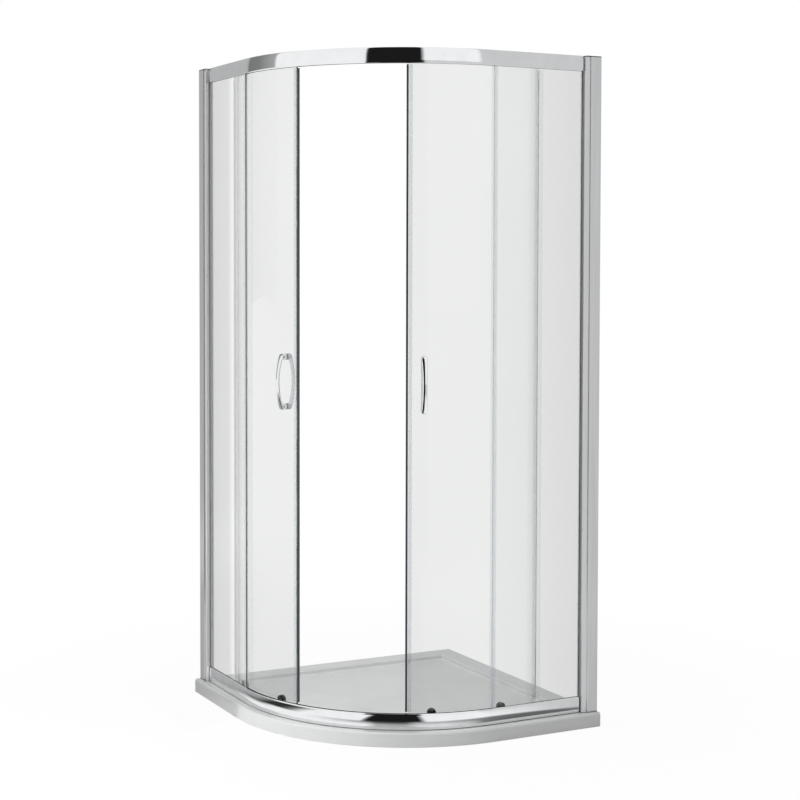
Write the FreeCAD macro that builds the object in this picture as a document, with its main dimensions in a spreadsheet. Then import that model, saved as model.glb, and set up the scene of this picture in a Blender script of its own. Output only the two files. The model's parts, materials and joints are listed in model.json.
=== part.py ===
# Quadrant shower enclosure: low tray, two fixed glass panels and two curved sliding doors.
# Millimetres. +Z is up and z = 0 is the floor under the tray. The origin is the middle of the
# tray's square outline. The walls stand at +X (right side) and +Y (left side), and the curved
# front faces -X -Y. The left side is the right side mirrored about the plane x = y.
import FreeCAD, Part
import math
import os
import Sketcher

doc = FreeCAD.newDocument("QuadrantShowerEnclosure")

# ---------------------------------------------------------------- driving dimensions
DIMENSIONS = {
    # tray
    "side_length": 900.0,
    "corner_radius": 550.0,
    "tray_height": 40.0,
    "tray_edge_round": 7.0,
    "basin_inset": 64.0,
    "basin_depth": 14.0,
    "basin_round": 6.0,
    # waste, on the diagonal behind the doors
    "waste_place": -197.0,
    "waste_seat_depth": 3.0,
    "waste_seat_radius": 58.0,
    "waste_hole_radius": 43.0,
    "waste_bore_radius": 35.0,
    "waste_flange_radius": 57.0,
    "waste_flange_thick": 2.2,
    "waste_tail_radius": 42.0,
    "waste_tail_base": 2.0,
    "waste_cover_radius": 54.0,
    "cover_leg_outer": 49.0,
    "cover_leg_inner": 46.0,
    "cover_leg_length": 3.0,
    "cover_rim_thick": 1.0,
    "cover_bevel_width": 4.0,
    "cover_bevel_top": 2.6,
    "cover_crown": 3.4,
    # frame
    "overall_height": 1920.0,
    "rail_end": 397.0,
    "top_rail_height": 43.0,
    "bottom_rail_height": 46.0,
    "rail_face_offset": 27.6,
    "rail_face_bulge": 166.0,
    "rail_wall": 2.0,
    "rail_web": 2.2,
    "slot_depth": 10.0,
    "rib_thick": 1.6,
    "ledge_offset": 38.6,
    "top_web_offset": 50.0,
    "foot_offset": 44.0,
    "bottom_track_height": 51.7,
    # uprights and wall profiles
    "upright_front": 398.0,
    "upright_back": 438.0,
    "upright_face_offset": 20.0,
    "upright_depth": 26.0,
    "upright_wall": 2.0,
    "slot_wall": 3.0,
    "glass_bite": 11.0,
    "profile_front": 415.0,
    "profile_face_offset": 17.0,
    "profile_depth": 32.0,
    "profile_flange": 2.4,
    "profile_web": 2.0,
    "cap_thick": 2.5,
    "cap_tongue_depth": 10.0,
    "cap_tongue_gap": 0.6,
    "upright_gap": 1.5,
    # fixed glass and its seals
    "glass_thick": 6.0,
    "glass_play": 0.5,
    "fixed_glass_offset": 33.0,
    "fixed_glass_front": 107.0,
    "glass_end_gap": 1.0,
    "seal_wall": 1.8,
    "seal_lap": 9.0,
    "seal_nose": 5.0,
    "seal_fin": 1.0,
    "seal_fin_root": 2.0,
    "seal_fin_tip": 0.6,
    "gasket_width": 3.5,
    "gasket_thick": 2.5,
    # plugs in the rail ends
    "plug_length": 25.0,
    "plug_gap": 0.5,
    "plate_overhang": 0.4,
    "plate_margin": 1.5,
    "plate_foot": 1.0,
    # fasteners
    "rail_screw_offset": 34.0,
    "rail_screw_radius": 2.1,
    "rail_screw_length": 36.0,
    "rail_screw_head": 3.0,
    "rail_screw_bore": 2.15,
    "rail_screw_hole": 2.3,
    "profile_screw_place": 428.0,
    "profile_screw_low": 190.0,
    "profile_screw_step": 770.0,
    "profile_screw_radius": 2.0,
    "profile_screw_length": 8.0,
    "profile_screw_head": 2.4,
    "profile_screw_hole": 2.2,
    "screw_head_radius": 4.0,
    "screw_cover_radius": 5.6,
    "screw_cover_height": 3.4,
    "screw_cover_bore": 4.2,
    "screw_cover_recess": 2.5,
    "wall_hole_radius": 3.25,
    "wall_hole_low": 130.0,
    "wall_hole_step": 830.0,
    # doors; lengths along the glass run from the closing plane on the diagonal
    "door_radius": 505.0,
    "door_glass_top": 1912.0,
    "door_glass_bottom": 68.0,
    "door_gap": 0.6,
    "magnet_width": 5.8,
    "magnet_thick": 5.0,
    "carrier_web": 1.6,
    "carrier_lap": 9.5,
    "carrier_wall": 1.4,
    "door_glass_end": 413.0,
    "trailing_lap": 13.0,
    "trailing_wall": 1.6,
    "trailing_web": 2.0,
    "trailing_fin": 15.0,
    "trailing_fin_thick": 1.0,
    "seal_end_gap": 1.5,
    # runners
    "lead_roller": 75.0,
    "trail_roller": 286.0,
    "wheel_radius": 10.2,
    "wheel_width": 5.0,
    "wheel_place": 6.5,
    "wheel_bevel": 0.6,
    "wheel_recess_radius": 5.0,
    "wheel_recess_depth": 1.6,
    "axle_shoulder_radius": 5.0,
    "axle_shoulder_gap": 0.2,
    "axle_head_radius": 4.6,
    "axle_head_thick": 1.25,
    "top_axle_length": 11.0,
    "bottom_axle_length": 8.0,
    "track_clearance": 0.3,
    "axle_radius": 3.0,
    "running_gap": 0.05,
    "clamp_gap": 0.2,
    "hanger_thick": 8.0,
    "hanger_radius": 13.0,
    "hanger_bevel": 2.0,
    "runner_bolt_height": 82.0,
    "runner_boss_radius": 13.0,
    "runner_foot_radius": 8.0,
    "runner_thick": 10.0,
    "runner_bore_depth": 6.0,
    "bolt_head_radius": 6.2,
    "bolt_head_thick": 0.9,
    "bolt_head_bevel": 0.8,
    "button_radius": 4.5,
    "button_height": 71.0,
    "button_bore": 4.8,
    "button_bore_depth": 7.0,
    "button_depth": 4.2,
    "button_proud": 2.5,
    "button_bevel": 1.0,
    "glass_hole_radius": 5.0,
    # handles
    "handle_along": 51.0,
    "handle_height": 996.0,
    "handle_pitch": 141.0,
    "handle_length": 159.0,
    "handle_reach": 35.0,
    "handle_stand": 14.0,
    "handle_strap": 5.5,
    "handle_end_width": 16.0,
    "handle_middle_width": 12.0,
    "handle_boss_radius": 9.0,
    "handle_rounding": 1.8,
    "handle_bore_depth": 8.5,
    "handle_stud_length": 24.0,
    "washer_thick": 1.0,
    "washer_gap": 0.1,
    "washer_bore": 3.1,
    # rubber stops in the top rail
    "roller_travel": 212.0,
    "stop_length": 12.0,
    "stop_height": 14.0,
    "stop_gap": 0.4,
    "stop_margin": 3.0,
    # motion: each door turns about a post close to the arc's centre
    "pivot_along": 15.0,
    "pivot_across": 45.0,
    "left_rest_angle": 17.4,
    "right_rest_angle": 16.2,
}


class Size:
    """A length or angle with its value and the sheet expression that gives it."""

    def __init__(self, value, text):
        self.value = value
        self.text = text

    def join(self, other, symbol, value, swap=False):
        other_text = other.text if isinstance(other, Size) else repr(float(other))
        first, second = (other_text, self.text) if swap else (self.text, other_text)
        return Size(value, "(%s %s %s)" % (first, symbol, second))

    def __add__(self, other):
        return self.join(other, "+", self.value + number(other))

    def __radd__(self, other):
        return self.join(other, "+", self.value + number(other), swap=True)

    def __sub__(self, other):
        return self.join(other, "-", self.value - number(other))

    def __rsub__(self, other):
        return self.join(other, "-", number(other) - self.value, swap=True)

    def __mul__(self, other):
        return self.join(other, "*", self.value * number(other))

    def __rmul__(self, other):
        return self.join(other, "*", self.value * number(other), swap=True)

    def __truediv__(self, other):
        return self.join(other, "/", self.value / number(other))

    def __neg__(self):
        return Size(-self.value, "(0 - %s)" % self.text)


def number(size):
    return size.value if isinstance(size, Size) else float(size)


def cosine(angle):
    return Size(math.cos(math.radians(angle.value)), "cos(%s)" % angle.text)


def sine(angle):
    return Size(math.sin(math.radians(angle.value)), "sin(%s)" % angle.text)


def bind(item, name, size):
    """Set a property from a size, and tie it to the sheet."""
    setattr(item, name, number(size))
    if isinstance(size, Size):
        item.setExpression(name, size.text)


sheet = doc.addObject("Spreadsheet::Sheet", "Sizes")
for row, (alias, value) in enumerate(DIMENSIONS.items(), start=1):
    sheet.set("A%d" % row, alias)
    sheet.set("B%d" % row, str(value))
    sheet.setAlias("B%d" % row, alias)
doc.recompute()


def cell(alias):
    return Size(DIMENSIONS[alias], "Sizes." + alias)


# ---------------------------------------------------------------- worked-out dimensions
half = cell("side_length") / 2
radius = cell("corner_radius")
arc_centre = radius - half
top = cell("overall_height")
profile_top = top - cell("cap_thick")
bottom_rail_base = cell("tray_height")
bottom_rail_top = bottom_rail_base + cell("bottom_rail_height")
top_rail_base = top - cell("top_rail_height")
glass_half = cell("glass_thick") / 2
fixed_inner_offset = cell("fixed_glass_offset") + glass_half
fixed_outer_offset = cell("fixed_glass_offset") - glass_half
slot_outer = fixed_outer_offset - cell("glass_play")
slot_inner = fixed_inner_offset + cell("glass_play")
rib_offset = slot_inner + cell("rib_thick")
wall_inner = cell("rail_face_offset") + cell("rail_wall")
top_track = top_rail_base + cell("slot_depth") + cell("rail_web")
bottom_track = cell("bottom_track_height")
wheel_lift = cell("wheel_radius") + cell("track_clearance")
top_axle = top_track + wheel_lift
bottom_axle = bottom_track + wheel_lift
door_outer = cell("door_radius") + glass_half
door_inner = cell("door_radius") - glass_half
seal_low = bottom_rail_top + cell("seal_end_gap")
seal_high = top_rail_base - cell("seal_end_gap")
basin_floor = cell("tray_height") - cell("basin_depth")
waste_seat = basin_floor - cell("waste_seat_depth")
pin_bore = cell("axle_radius") + cell("running_gap")
clamp_face = -glass_half - cell("clamp_gap")
runner_inner = clamp_face - cell("runner_thick")
rail_screw_levels = (
    (bottom_track + bottom_rail_top - cell("slot_depth") - cell("rail_web")) / 2,
    (top_track + top - cell("rail_web")) / 2)

CLOSING_ANGLE = 225.0
SIDES = ("left", "right")
TURN = {"left": -1, "right": 1}
AXIS_X = FreeCAD.Vector(1, 0, 0)
AXIS_Y = FreeCAD.Vector(0, 1, 0)
AXIS_Z = FreeCAD.Vector(0, 0, 1)
NO_TURN = FreeCAD.Rotation()

nodes = []


# ---------------------------------------------------------------- modelling helpers
def keep(item, label):
    """Give a finished sub-part its name and list it for export."""
    item.Label = label
    nodes.append(item)
    return item


def origin_feature(body, role):
    for feature in body.Origin.OriginFeatures:
        if feature.Role == role:
            return feature
    raise ValueError("no origin feature " + role)


def new_sketch(body, plane, lift=0, turn_about=None, angle=0.0):
    """A sketch on one of the body's origin planes, lifted along its normal or turned."""
    sketch = body.newObject("Sketcher::SketchObject", body.Name + "_sketch")
    sketch.AttachmentSupport = [(origin_feature(body, plane), "")]
    sketch.MapMode = "FlatFace"
    rotation = FreeCAD.Rotation(turn_about, angle) if turn_about else NO_TURN
    sketch.AttachmentOffset = FreeCAD.Placement(FreeCAD.Vector(0, 0, number(lift)), rotation)
    if isinstance(lift, Size):
        sketch.setExpression("AttachmentOffset.Base.z", lift.text)
    return sketch


def constrain_point(sketch, geometry, position, place):
    """Hold a point at its place, on an axis where a coordinate is zero."""
    for kind, axis, coordinate in (("DistanceX", -2, place[0]), ("DistanceY", -1, place[1])):
        if not isinstance(coordinate, Size) and coordinate == 0:
            sketch.addConstraint(Sketcher.Constraint("PointOnObject", geometry, position, axis))
            continue
        rule = Sketcher.Constraint(kind, -1, 1, geometry, position, number(coordinate))
        index = sketch.addConstraint(rule)
        if isinstance(coordinate, Size):
            sketch.setExpression("Constraints[%d]" % index, coordinate.text)


def constrain_radius(sketch, geometry, size):
    index = sketch.addConstraint(Sketcher.Constraint("Radius", geometry, number(size)))
    if isinstance(size, Size):
        sketch.setExpression("Constraints[%d]" % index, size.text)


def arc_between(start, end, size, turn):
    """The short arc from start to end, turning left (turn 1) or right (turn -1)."""
    chord = end - start
    height = math.sqrt(size * size - chord.Length * chord.Length / 4)
    normal = FreeCAD.Vector(-chord.y, chord.x, 0).normalize()
    centre = (start + end) * 0.5 + normal * (height * turn)
    first, last = (start, end) if turn > 0 else (end, start)
    angles = [math.atan2(point.y - centre.y, point.x - centre.x) for point in (first, last)]
    return Part.ArcOfCircle(Part.Circle(centre, AXIS_Z, size), angles[0], angles[1])


def draw_loop(sketch, corners, arcs=None):
    """A closed outline. arcs maps a side's number to (radius, turn) where it is round."""
    arcs = arcs or {}
    places = [FreeCAD.Vector(number(x), number(y), 0) for x, y in corners]
    sides = []
    for index, start in enumerate(places):
        end = places[(index + 1) % len(places)]
        if index in arcs:
            size, turn = arcs[index]
            geometry = sketch.addGeometry(arc_between(start, end, number(size), turn))
            sides.append((geometry, 1, 2) if turn > 0 else (geometry, 2, 1))
        else:
            sides.append((sketch.addGeometry(Part.LineSegment(start, end)), 1, 2))
    for index, (geometry, start_position, _) in enumerate(sides):
        before, _, end_position = sides[index - 1]
        sketch.addConstraint(Sketcher.Constraint(
            "Coincident", before, end_position, geometry, start_position))
        constrain_point(sketch, geometry, start_position, corners[index])
    for index, (size, _) in arcs.items():
        constrain_radius(sketch, sides[index][0], size)


def draw_circles(sketch, centres, size):
    for centre in centres:
        place = FreeCAD.Vector(number(centre[0]), number(centre[1]), 0)
        geometry = sketch.addGeometry(Part.Circle(place, AXIS_Z, number(size)))
        constrain_point(sketch, geometry, 3, centre)
        constrain_radius(sketch, geometry, size)


def pad(body, sketch, length, reverse=False, symmetric=False):
    feature = body.newObject("PartDesign::Pad", body.Name + "_pad")
    feature.Profile = sketch
    bind(feature, "Length", length)
    feature.Reversed = reverse
    if symmetric:
        feature.SideType = "Symmetric"
    return feature


def pocket(body, sketch, length=None, reverse=False):
    """Cut a sketch into the body, right through both ways where no length is given."""
    doc.recompute()
    before = body.Shape.Volume
    feature = body.newObject("PartDesign::Pocket", body.Name + "_pocket")
    feature.Profile = sketch
    feature.Reversed = reverse
    if length is None:
        feature.Type = "ThroughAll"
        feature.SideType = "Symmetric"
    else:
        bind(feature, "Length", length)
    doc.recompute()
    if body.Shape.Volume > before - 1:
        raise ValueError("a pocket in %s cuts nothing" % body.Name)
    return feature


def revolve(body, sketch, axis, angle=360.0, reverse=False):
    feature = body.newObject("PartDesign::Revolution", body.Name + "_turn")
    feature.Profile = sketch
    feature.ReferenceAxis = (sketch, [axis])
    feature.Angle = angle
    feature.Reversed = reverse
    return feature


def prism(name, corners, low, high, arcs=None, hollow=None):
    """A body standing between two heights on a plan outline, with an optional chamber."""
    body = doc.addObject("PartDesign::Body", name)
    sketch = new_sketch(body, "XY_Plane", lift=low)
    draw_loop(sketch, corners, arcs)
    if hollow:
        draw_loop(sketch, hollow)
    pad(body, sketch, high - low)
    return body


def turned(name, corners, arcs=None, axis="H_Axis"):
    """A body of revolution about its local X (H_Axis) or Z (V_Axis)."""
    body = doc.addObject("PartDesign::Body", name)
    sketch = new_sketch(body, "XZ_Plane")
    draw_loop(sketch, corners, arcs)
    revolve(body, sketch, axis)
    return body


def block(name, low, high):
    """A Part box between two corners given as sizes."""
    item = doc.addObject("Part::Box", name)
    for prop, first, last in zip(("Length", "Width", "Height"), low, high):
        bind(item, prop, last - first)
    item.Placement.Base = FreeCAD.Vector(*[number(size) for size in low])
    return item


def rod(name, size, length, base, direction):
    """A Part cylinder from base along a direction."""
    item = doc.addObject("Part::Cylinder", name)
    bind(item, "Radius", size)
    bind(item, "Height", length)
    item.Placement = FreeCAD.Placement(base, FreeCAD.Rotation(AXIS_Z, direction))
    return item


def combine(kind, name, *items):
    """A Part fuse or cut of two or more items."""
    result = items[0]
    for index, item in enumerate(items[1:], start=1):
        step = doc.addObject(kind, "%s_%d" % (name, index))
        step.Base = result
        step.Tool = item
        result = step
    return result


def group(label, items):
    """Identical pieces that share one node, as separate solids."""
    compound = doc.addObject("Part::Compound", label)
    compound.Links = items
    return keep(compound, label)


# ---------------------------------------------------------------- places on either side
def mirrored(side, corners, arcs=None):
    """A right-side plan outline, with its coordinates swapped for the left side."""
    if side == "right":
        return corners, arcs
    swapped = [(y, x) for x, y in corners]
    turned_arcs = {index: (size, -turn) for index, (size, turn) in (arcs or {}).items()}
    return swapped, turned_arcs


def side_vector(side, along, across, height):
    """A point on the right side, or its mirror image on the left."""
    along, across, height = number(along), number(across), number(height)
    if side == "right":
        return FreeCAD.Vector(along, across, height)
    return FreeCAD.Vector(across, along, height)


def side_block(side, name, low, high):
    """A box on the right side, or its mirror image on the left."""
    if side == "right":
        return block(name, low, high)
    return block(name, (low[1], low[0], low[2]), (high[1], high[0], high[2]))


def inwards(offset):
    """The coordinate of a plane that lies an offset inside the tray's front edge."""
    return offset - half


def door_angle(side, along):
    """Polar angle of a place on a closed door, a length from the closing plane."""
    return CLOSING_ANGLE + TURN[side] * (along / cell("door_radius") * math.degrees(1))


def polar(size, along):
    """A plan point on the closed right door, about the arc's centre."""
    angle = door_angle("right", along)
    return (size * cosine(angle), size * sine(angle))


def door_rest(side):
    """The turn that takes a closed door to the place where it stands open at rest."""
    centre = number(arc_centre)
    along = DIMENSIONS["pivot_along"]
    across = DIMENSIONS["pivot_across"]
    pivot = side_vector(side, centre + along, centre + across, 0)
    angle = TURN[side] * DIMENSIONS[side + "_rest_angle"]
    return FreeCAD.Placement(FreeCAD.Vector(), FreeCAD.Rotation(AXIS_Z, angle), pivot)


def on_door(side):
    """Placement of a door piece that is drawn about the arc's centre."""
    centre = number(arc_centre)
    return door_rest(side).multiply(FreeCAD.Placement(FreeCAD.Vector(centre, centre, 0), NO_TURN))


def on_door_at(side, along, height):
    """Placement of a door piece whose local X points outwards through the glass."""
    angle = number(door_angle(side, along))
    reach = DIMENSIONS["door_radius"]
    base = FreeCAD.Vector(reach * math.cos(math.radians(angle)),
                          reach * math.sin(math.radians(angle)), number(height))
    return on_door(side).multiply(FreeCAD.Placement(base, FreeCAD.Rotation(AXIS_Z, angle)))


# ---------------------------------------------------------------- tray and waste
def plan_outline(inset):
    """The quadrant outline, drawn an inset inside the tray's edge."""
    edge = half - inset
    corners = [(edge, edge), (-edge, edge), (-edge, arc_centre), (arc_centre, -edge), (edge, -edge)]
    return corners, {2: (radius - inset, 1)}


def tray_edges(shape, level):
    """The long level edges to round: the tray's free rim, or the foot of the basin's sides."""
    wall_line = half.value - 1
    top_level = DIMENSIONS["tray_height"]
    names = []
    for index, edge in enumerate(shape.Edges, start=1):
        box = edge.BoundBox
        if box.ZLength > 0.01 or abs(box.ZMax - level) > 0.01 or box.DiagonalLength < 200:
            continue
        on_rim = min(box.XMin, box.YMin) < -wall_line
        on_wall = box.XMin > wall_line or box.YMin > wall_line
        if level < top_level or (on_rim and not on_wall):
            names.append("Edge%d" % index)
    return names


def build_tray():
    corners, arcs = plan_outline(Size(0.0, "0"))
    body = prism("shower_tray", corners, Size(0.0, "0"), cell("tray_height"), arcs)
    basin = new_sketch(body, "XY_Plane", lift=cell("tray_height"))
    draw_loop(basin, *plan_outline(cell("basin_inset")))
    pocket(body, basin, cell("basin_depth"))
    for circle_radius, lift, depth in (
            (cell("waste_seat_radius"), basin_floor, cell("waste_seat_depth")),
            (cell("waste_hole_radius"), waste_seat, waste_seat)):
        hole = new_sketch(body, "XY_Plane", lift=lift)
        draw_circles(hole, [(cell("waste_place"), cell("waste_place"))], circle_radius)
        pocket(body, hole, depth)
    for level, size in ((cell("tray_height"), "tray_edge_round"), (basin_floor, "basin_round")):
        base = body.Tip
        feature = body.newObject("PartDesign::Fillet", "tray_" + size)
        feature.Base = (base, tray_edges(base.Shape, number(level)))
        bind(feature, "Radius", cell(size))
        doc.recompute()
    keep(body, "shower_tray")


def build_waste():
    bore = cell("waste_bore_radius")
    flange_top = waste_seat + cell("waste_flange_thick")
    tail = cell("waste_tail_radius")
    flange = turned("waste_flange", [
        (bore, cell("waste_tail_base")), (tail, cell("waste_tail_base")), (tail, waste_seat),
        (cell("waste_flange_radius"), waste_seat), (cell("waste_flange_radius"), flange_top),
        (bore, flange_top)], axis="V_Axis")
    keep(flange, "waste_flange")
    legs = flange_top + cell("track_clearance")
    plate = legs + cell("cover_leg_length")
    rim = cell("waste_cover_radius")
    cover = turned("waste_cover", [
        (0, plate), (cell("cover_leg_inner"), plate), (cell("cover_leg_inner"), legs),
        (cell("cover_leg_outer"), legs), (cell("cover_leg_outer"), plate), (rim, plate),
        (rim, plate + cell("cover_rim_thick")),
        (rim - cell("cover_bevel_width"), plate + cell("cover_bevel_top")),
        (0, plate + cell("cover_crown"))], axis="V_Axis")
    keep(cover, "waste_cover")
    centre = DIMENSIONS["waste_place"]
    for item in (flange, cover):
        item.Placement = FreeCAD.Placement(FreeCAD.Vector(centre, centre, 0), NO_TURN)


# ---------------------------------------------------------------- curved rails
def rail_body(name, section, arcs):
    """A rail: the section swept round the quarter arc and along a straight at each end."""
    body = doc.addObject("PartDesign::Body", name)
    corners = [(offset - radius, height) for offset, height in section]
    straight = cell("rail_end") - arc_centre
    sweep = new_sketch(body, "XZ_Plane")
    draw_loop(sweep, corners, arcs)
    revolve(body, sweep, "V_Axis", 90.0)
    left = new_sketch(body, "XZ_Plane")
    draw_loop(left, corners, arcs)
    pad(body, left, straight, reverse=True)
    right = new_sketch(body, "YZ_Plane")
    draw_loop(right, corners, arcs)
    pad(body, right, straight)
    body.Placement = FreeCAD.Placement(
        FreeCAD.Vector(number(arc_centre), number(arc_centre), 0), NO_TURN)
    return keep(body, name)


def build_rails():
    face = cell("rail_face_offset")
    bulge = cell("rail_face_bulge")
    web = cell("rail_web")
    ledge = cell("ledge_offset")
    slot_floor = bottom_rail_top - cell("slot_depth")
    channel_roof = slot_floor - web
    foot = cell("foot_offset")
    bottom = [
        (face, bottom_rail_base), (face, bottom_rail_top),
        (slot_outer, bottom_rail_top), (slot_outer, slot_floor),
        (slot_inner, slot_floor), (slot_inner, bottom_rail_top),
        (rib_offset, bottom_rail_top), (rib_offset, channel_roof),
        (wall_inner, channel_roof), (wall_inner, bottom_track),
        (ledge, bottom_track), (ledge, bottom_track - web),
        (wall_inner, bottom_track - web), (wall_inner, bottom_rail_base + web),
        (foot, bottom_rail_base + web), (foot, bottom_rail_base)]
    rail_body("bottom_rail", bottom, {0: (bulge, -1)})

    slot_roof = top_rail_base + cell("slot_depth")
    cover = cell("top_web_offset")
    upper = [
        (face, top_rail_base), (face, top), (cover, top), (cover, top - web),
        (wall_inner, top - web), (wall_inner, top_track),
        (ledge, top_track), (ledge, slot_roof), (rib_offset, slot_roof),
        (rib_offset, top_rail_base), (slot_inner, top_rail_base), (slot_inner, slot_roof),
        (slot_outer, slot_roof), (slot_outer, top_rail_base)]
    rail_body("top_rail", upper, {0: (bulge, -1)})


# ---------------------------------------------------------------- uprights and wall profiles
def drill_along(body, side, offset, levels, size):
    """Level holes right through a side piece, running along the panel."""
    sketch = new_sketch(body, {"right": "YZ_Plane", "left": "XZ_Plane"}[side])
    draw_circles(sketch, [(inwards(offset), level) for level in levels], size)
    pocket(body, sketch)


def drill_outwards(body, side, along, offset, levels, size, depth):
    """Level holes cut outwards from the plane at an offset, at one place along the panel."""
    plane = {"right": "XZ_Plane", "left": "YZ_Plane"}[side]
    place = inwards(offset)
    sketch = new_sketch(body, plane, lift=-place if side == "right" else place)
    draw_circles(sketch, [(along, level) for level in levels], size)
    pocket(body, sketch, depth, reverse=(side == "right"))


def three_levels(low, step):
    return [low + step * count for count in range(3)]


def build_uprights(side):
    face = inwards(cell("upright_face_offset"))
    back = face + cell("upright_depth")
    front = cell("upright_front")
    end = cell("upright_back")
    slot_low = inwards(slot_outer)
    slot_high = inwards(slot_inner)
    slot_end = front + cell("glass_bite")
    wall = cell("upright_wall")
    chamber_front = slot_end + cell("slot_wall")
    corners, _ = mirrored(side, [
        (end, face), (end, back), (front, back), (front, slot_high),
        (slot_end, slot_high), (slot_end, slot_low), (front, slot_low), (front, face)])
    chamber, _ = mirrored(side, [
        (chamber_front, face + wall), (end - wall, face + wall),
        (end - wall, back - wall), (chamber_front, back - wall)])
    upright = prism("upright_" + side, corners, cell("tray_height"), profile_top, hollow=chamber)
    drill_along(upright, side, cell("rail_screw_offset"), rail_screw_levels, cell("rail_screw_hole"))
    screw_levels = three_levels(cell("profile_screw_low"), cell("profile_screw_step"))
    drill_outwards(upright, side, cell("profile_screw_place"),
                   cell("upright_face_offset") + cell("upright_depth"),
                   screw_levels, cell("profile_screw_hole"), wall * 2)
    keep(upright, "upright_" + side)

    outer = inwards(cell("profile_face_offset"))
    inner = outer + cell("profile_depth")
    flange = cell("profile_flange")
    front = cell("profile_front")
    web = half - cell("profile_web")
    corners, _ = mirrored(side, [
        (half, outer), (half, inner), (front, inner), (front, inner - flange),
        (web, inner - flange), (web, outer + flange), (front, outer + flange), (front, outer)])
    profile = prism("wall_profile_" + side, corners, cell("tray_height"), profile_top)
    middle = cell("profile_face_offset") + cell("profile_depth") / 2
    wall_levels = three_levels(cell("wall_hole_low"), cell("wall_hole_step"))
    drill_along(profile, side, middle, wall_levels, cell("wall_hole_radius"))
    drill_outwards(profile, side, cell("profile_screw_place"),
                   cell("profile_face_offset") + cell("profile_depth"),
                   screw_levels, cell("profile_screw_hole"), flange * 2)
    keep(profile, "wall_profile_" + side)

    gap = cell("cap_tongue_gap")
    plate = side_block(side, "cap_plate_" + side,
                       (cell("upright_front") + gap, outer, profile_top), (half, inner, top))
    tongue = side_block(side, "cap_tongue_" + side,
                        (end + cell("upright_gap"), outer + flange + gap,
                         profile_top - cell("cap_tongue_depth")),
                        (web - gap, inner - flange - gap, top))
    keep(combine("Part::Fuse", "cap_" + side, plate, tongue), "profile_cap_" + side)


def build_fixed_glass(side):
    outer = inwards(fixed_outer_offset)
    inner = inwards(fixed_inner_offset)
    front = cell("fixed_glass_front")
    gap = cell("glass_end_gap")
    low = bottom_rail_top - cell("slot_depth") + gap
    high = top_rail_base + cell("slot_depth") - gap
    end = cell("upright_front") + cell("glass_bite") - gap
    corners, _ = mirrored(side, [(front, outer), (end, outer), (end, inner), (front, inner)])
    keep(prism("fixed_glass_" + side, corners, low, high), "fixed_glass_" + side)

    wall = cell("seal_wall")
    nose = front - cell("seal_nose")
    lap = front + cell("seal_lap")
    fin = inner + wall + cell("seal_fin")
    corners, _ = mirrored(side, [
        (nose, outer - wall), (lap, outer - wall), (lap, outer), (front, outer), (front, inner),
        (lap, inner), (lap, inner + wall), (nose + cell("seal_fin_root"), inner + wall),
        (nose + cell("seal_fin_tip"), fin), (nose, fin)])
    keep(prism("fixed_glass_seal_" + side, corners, bottom_rail_top, top_rail_base),
         "fixed_glass_seal_" + side)

    gasket_front = cell("upright_front") - cell("gasket_width")
    strips = []
    for name, low_edge, high_edge in (("outer", outer - cell("gasket_thick"), outer),
                                      ("inner", inner, inner + cell("gasket_thick"))):
        strips.append(side_block(side, "gasket_%s_%s" % (name, side),
                                 (gasket_front, low_edge, bottom_rail_top),
                                 (cell("upright_front"), high_edge, top_rail_base)))
    group("glazing_gasket_" + side, strips)


def build_corner_blocks(side):
    """Plastic blocks that plug the rail ends and take the screws from the upright."""
    blocks = []
    end = cell("rail_end")
    gap = cell("plug_gap")
    margin = cell("plate_margin")
    channel_roof = bottom_rail_top - cell("slot_depth") - cell("rail_web")
    spans = {"bottom": (bottom_track, channel_roof, bottom_rail_base + cell("plate_foot")),
             "top": (top_track, top - cell("rail_web"), top_track - margin)}
    screw_place = inwards(cell("rail_screw_offset"))
    for (level, (low, high, plate_low)), screw_level in zip(spans.items(), rail_screw_levels):
        tag = "%s_%s" % (level, side)
        plug = side_block(side, "plug_" + tag,
                          (end - cell("plug_length"), inwards(wall_inner + gap), low + gap),
                          (end + gap, inwards(cell("ledge_offset")), high - gap))
        plate = side_block(side, "plate_" + tag,
                           (end, inwards(cell("rail_face_offset") - cell("plate_overhang")), plate_low),
                           (cell("upright_front"), inwards(cell("ledge_offset") + gap), high + margin))
        start = end - cell("plug_length") - margin
        bore = rod("block_bore_" + tag, cell("rail_screw_bore"), cell("upright_front") - start + margin,
                   side_vector(side, start, screw_place, screw_level), side_vector(side, 1, 0, 0))
        solid = combine("Part::Fuse", "block_" + tag, plug, plate)
        blocks.append(combine("Part::Cut", "bored_block_" + tag, solid, bore))
    group("corner_blocks_" + side, blocks)


def screw(name, kind, base, direction):
    """A screw whose shank runs from base along a direction; its head is behind the base."""
    head_thick = cell(kind + "_head")
    stem = rod(name + "_shank", cell(kind + "_radius"), cell(kind + "_length"), base, direction)
    head = rod(name + "_head", cell("screw_head_radius"), head_thick,
               base - direction * number(head_thick), direction)
    return combine("Part::Fuse", name, stem, head)


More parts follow.
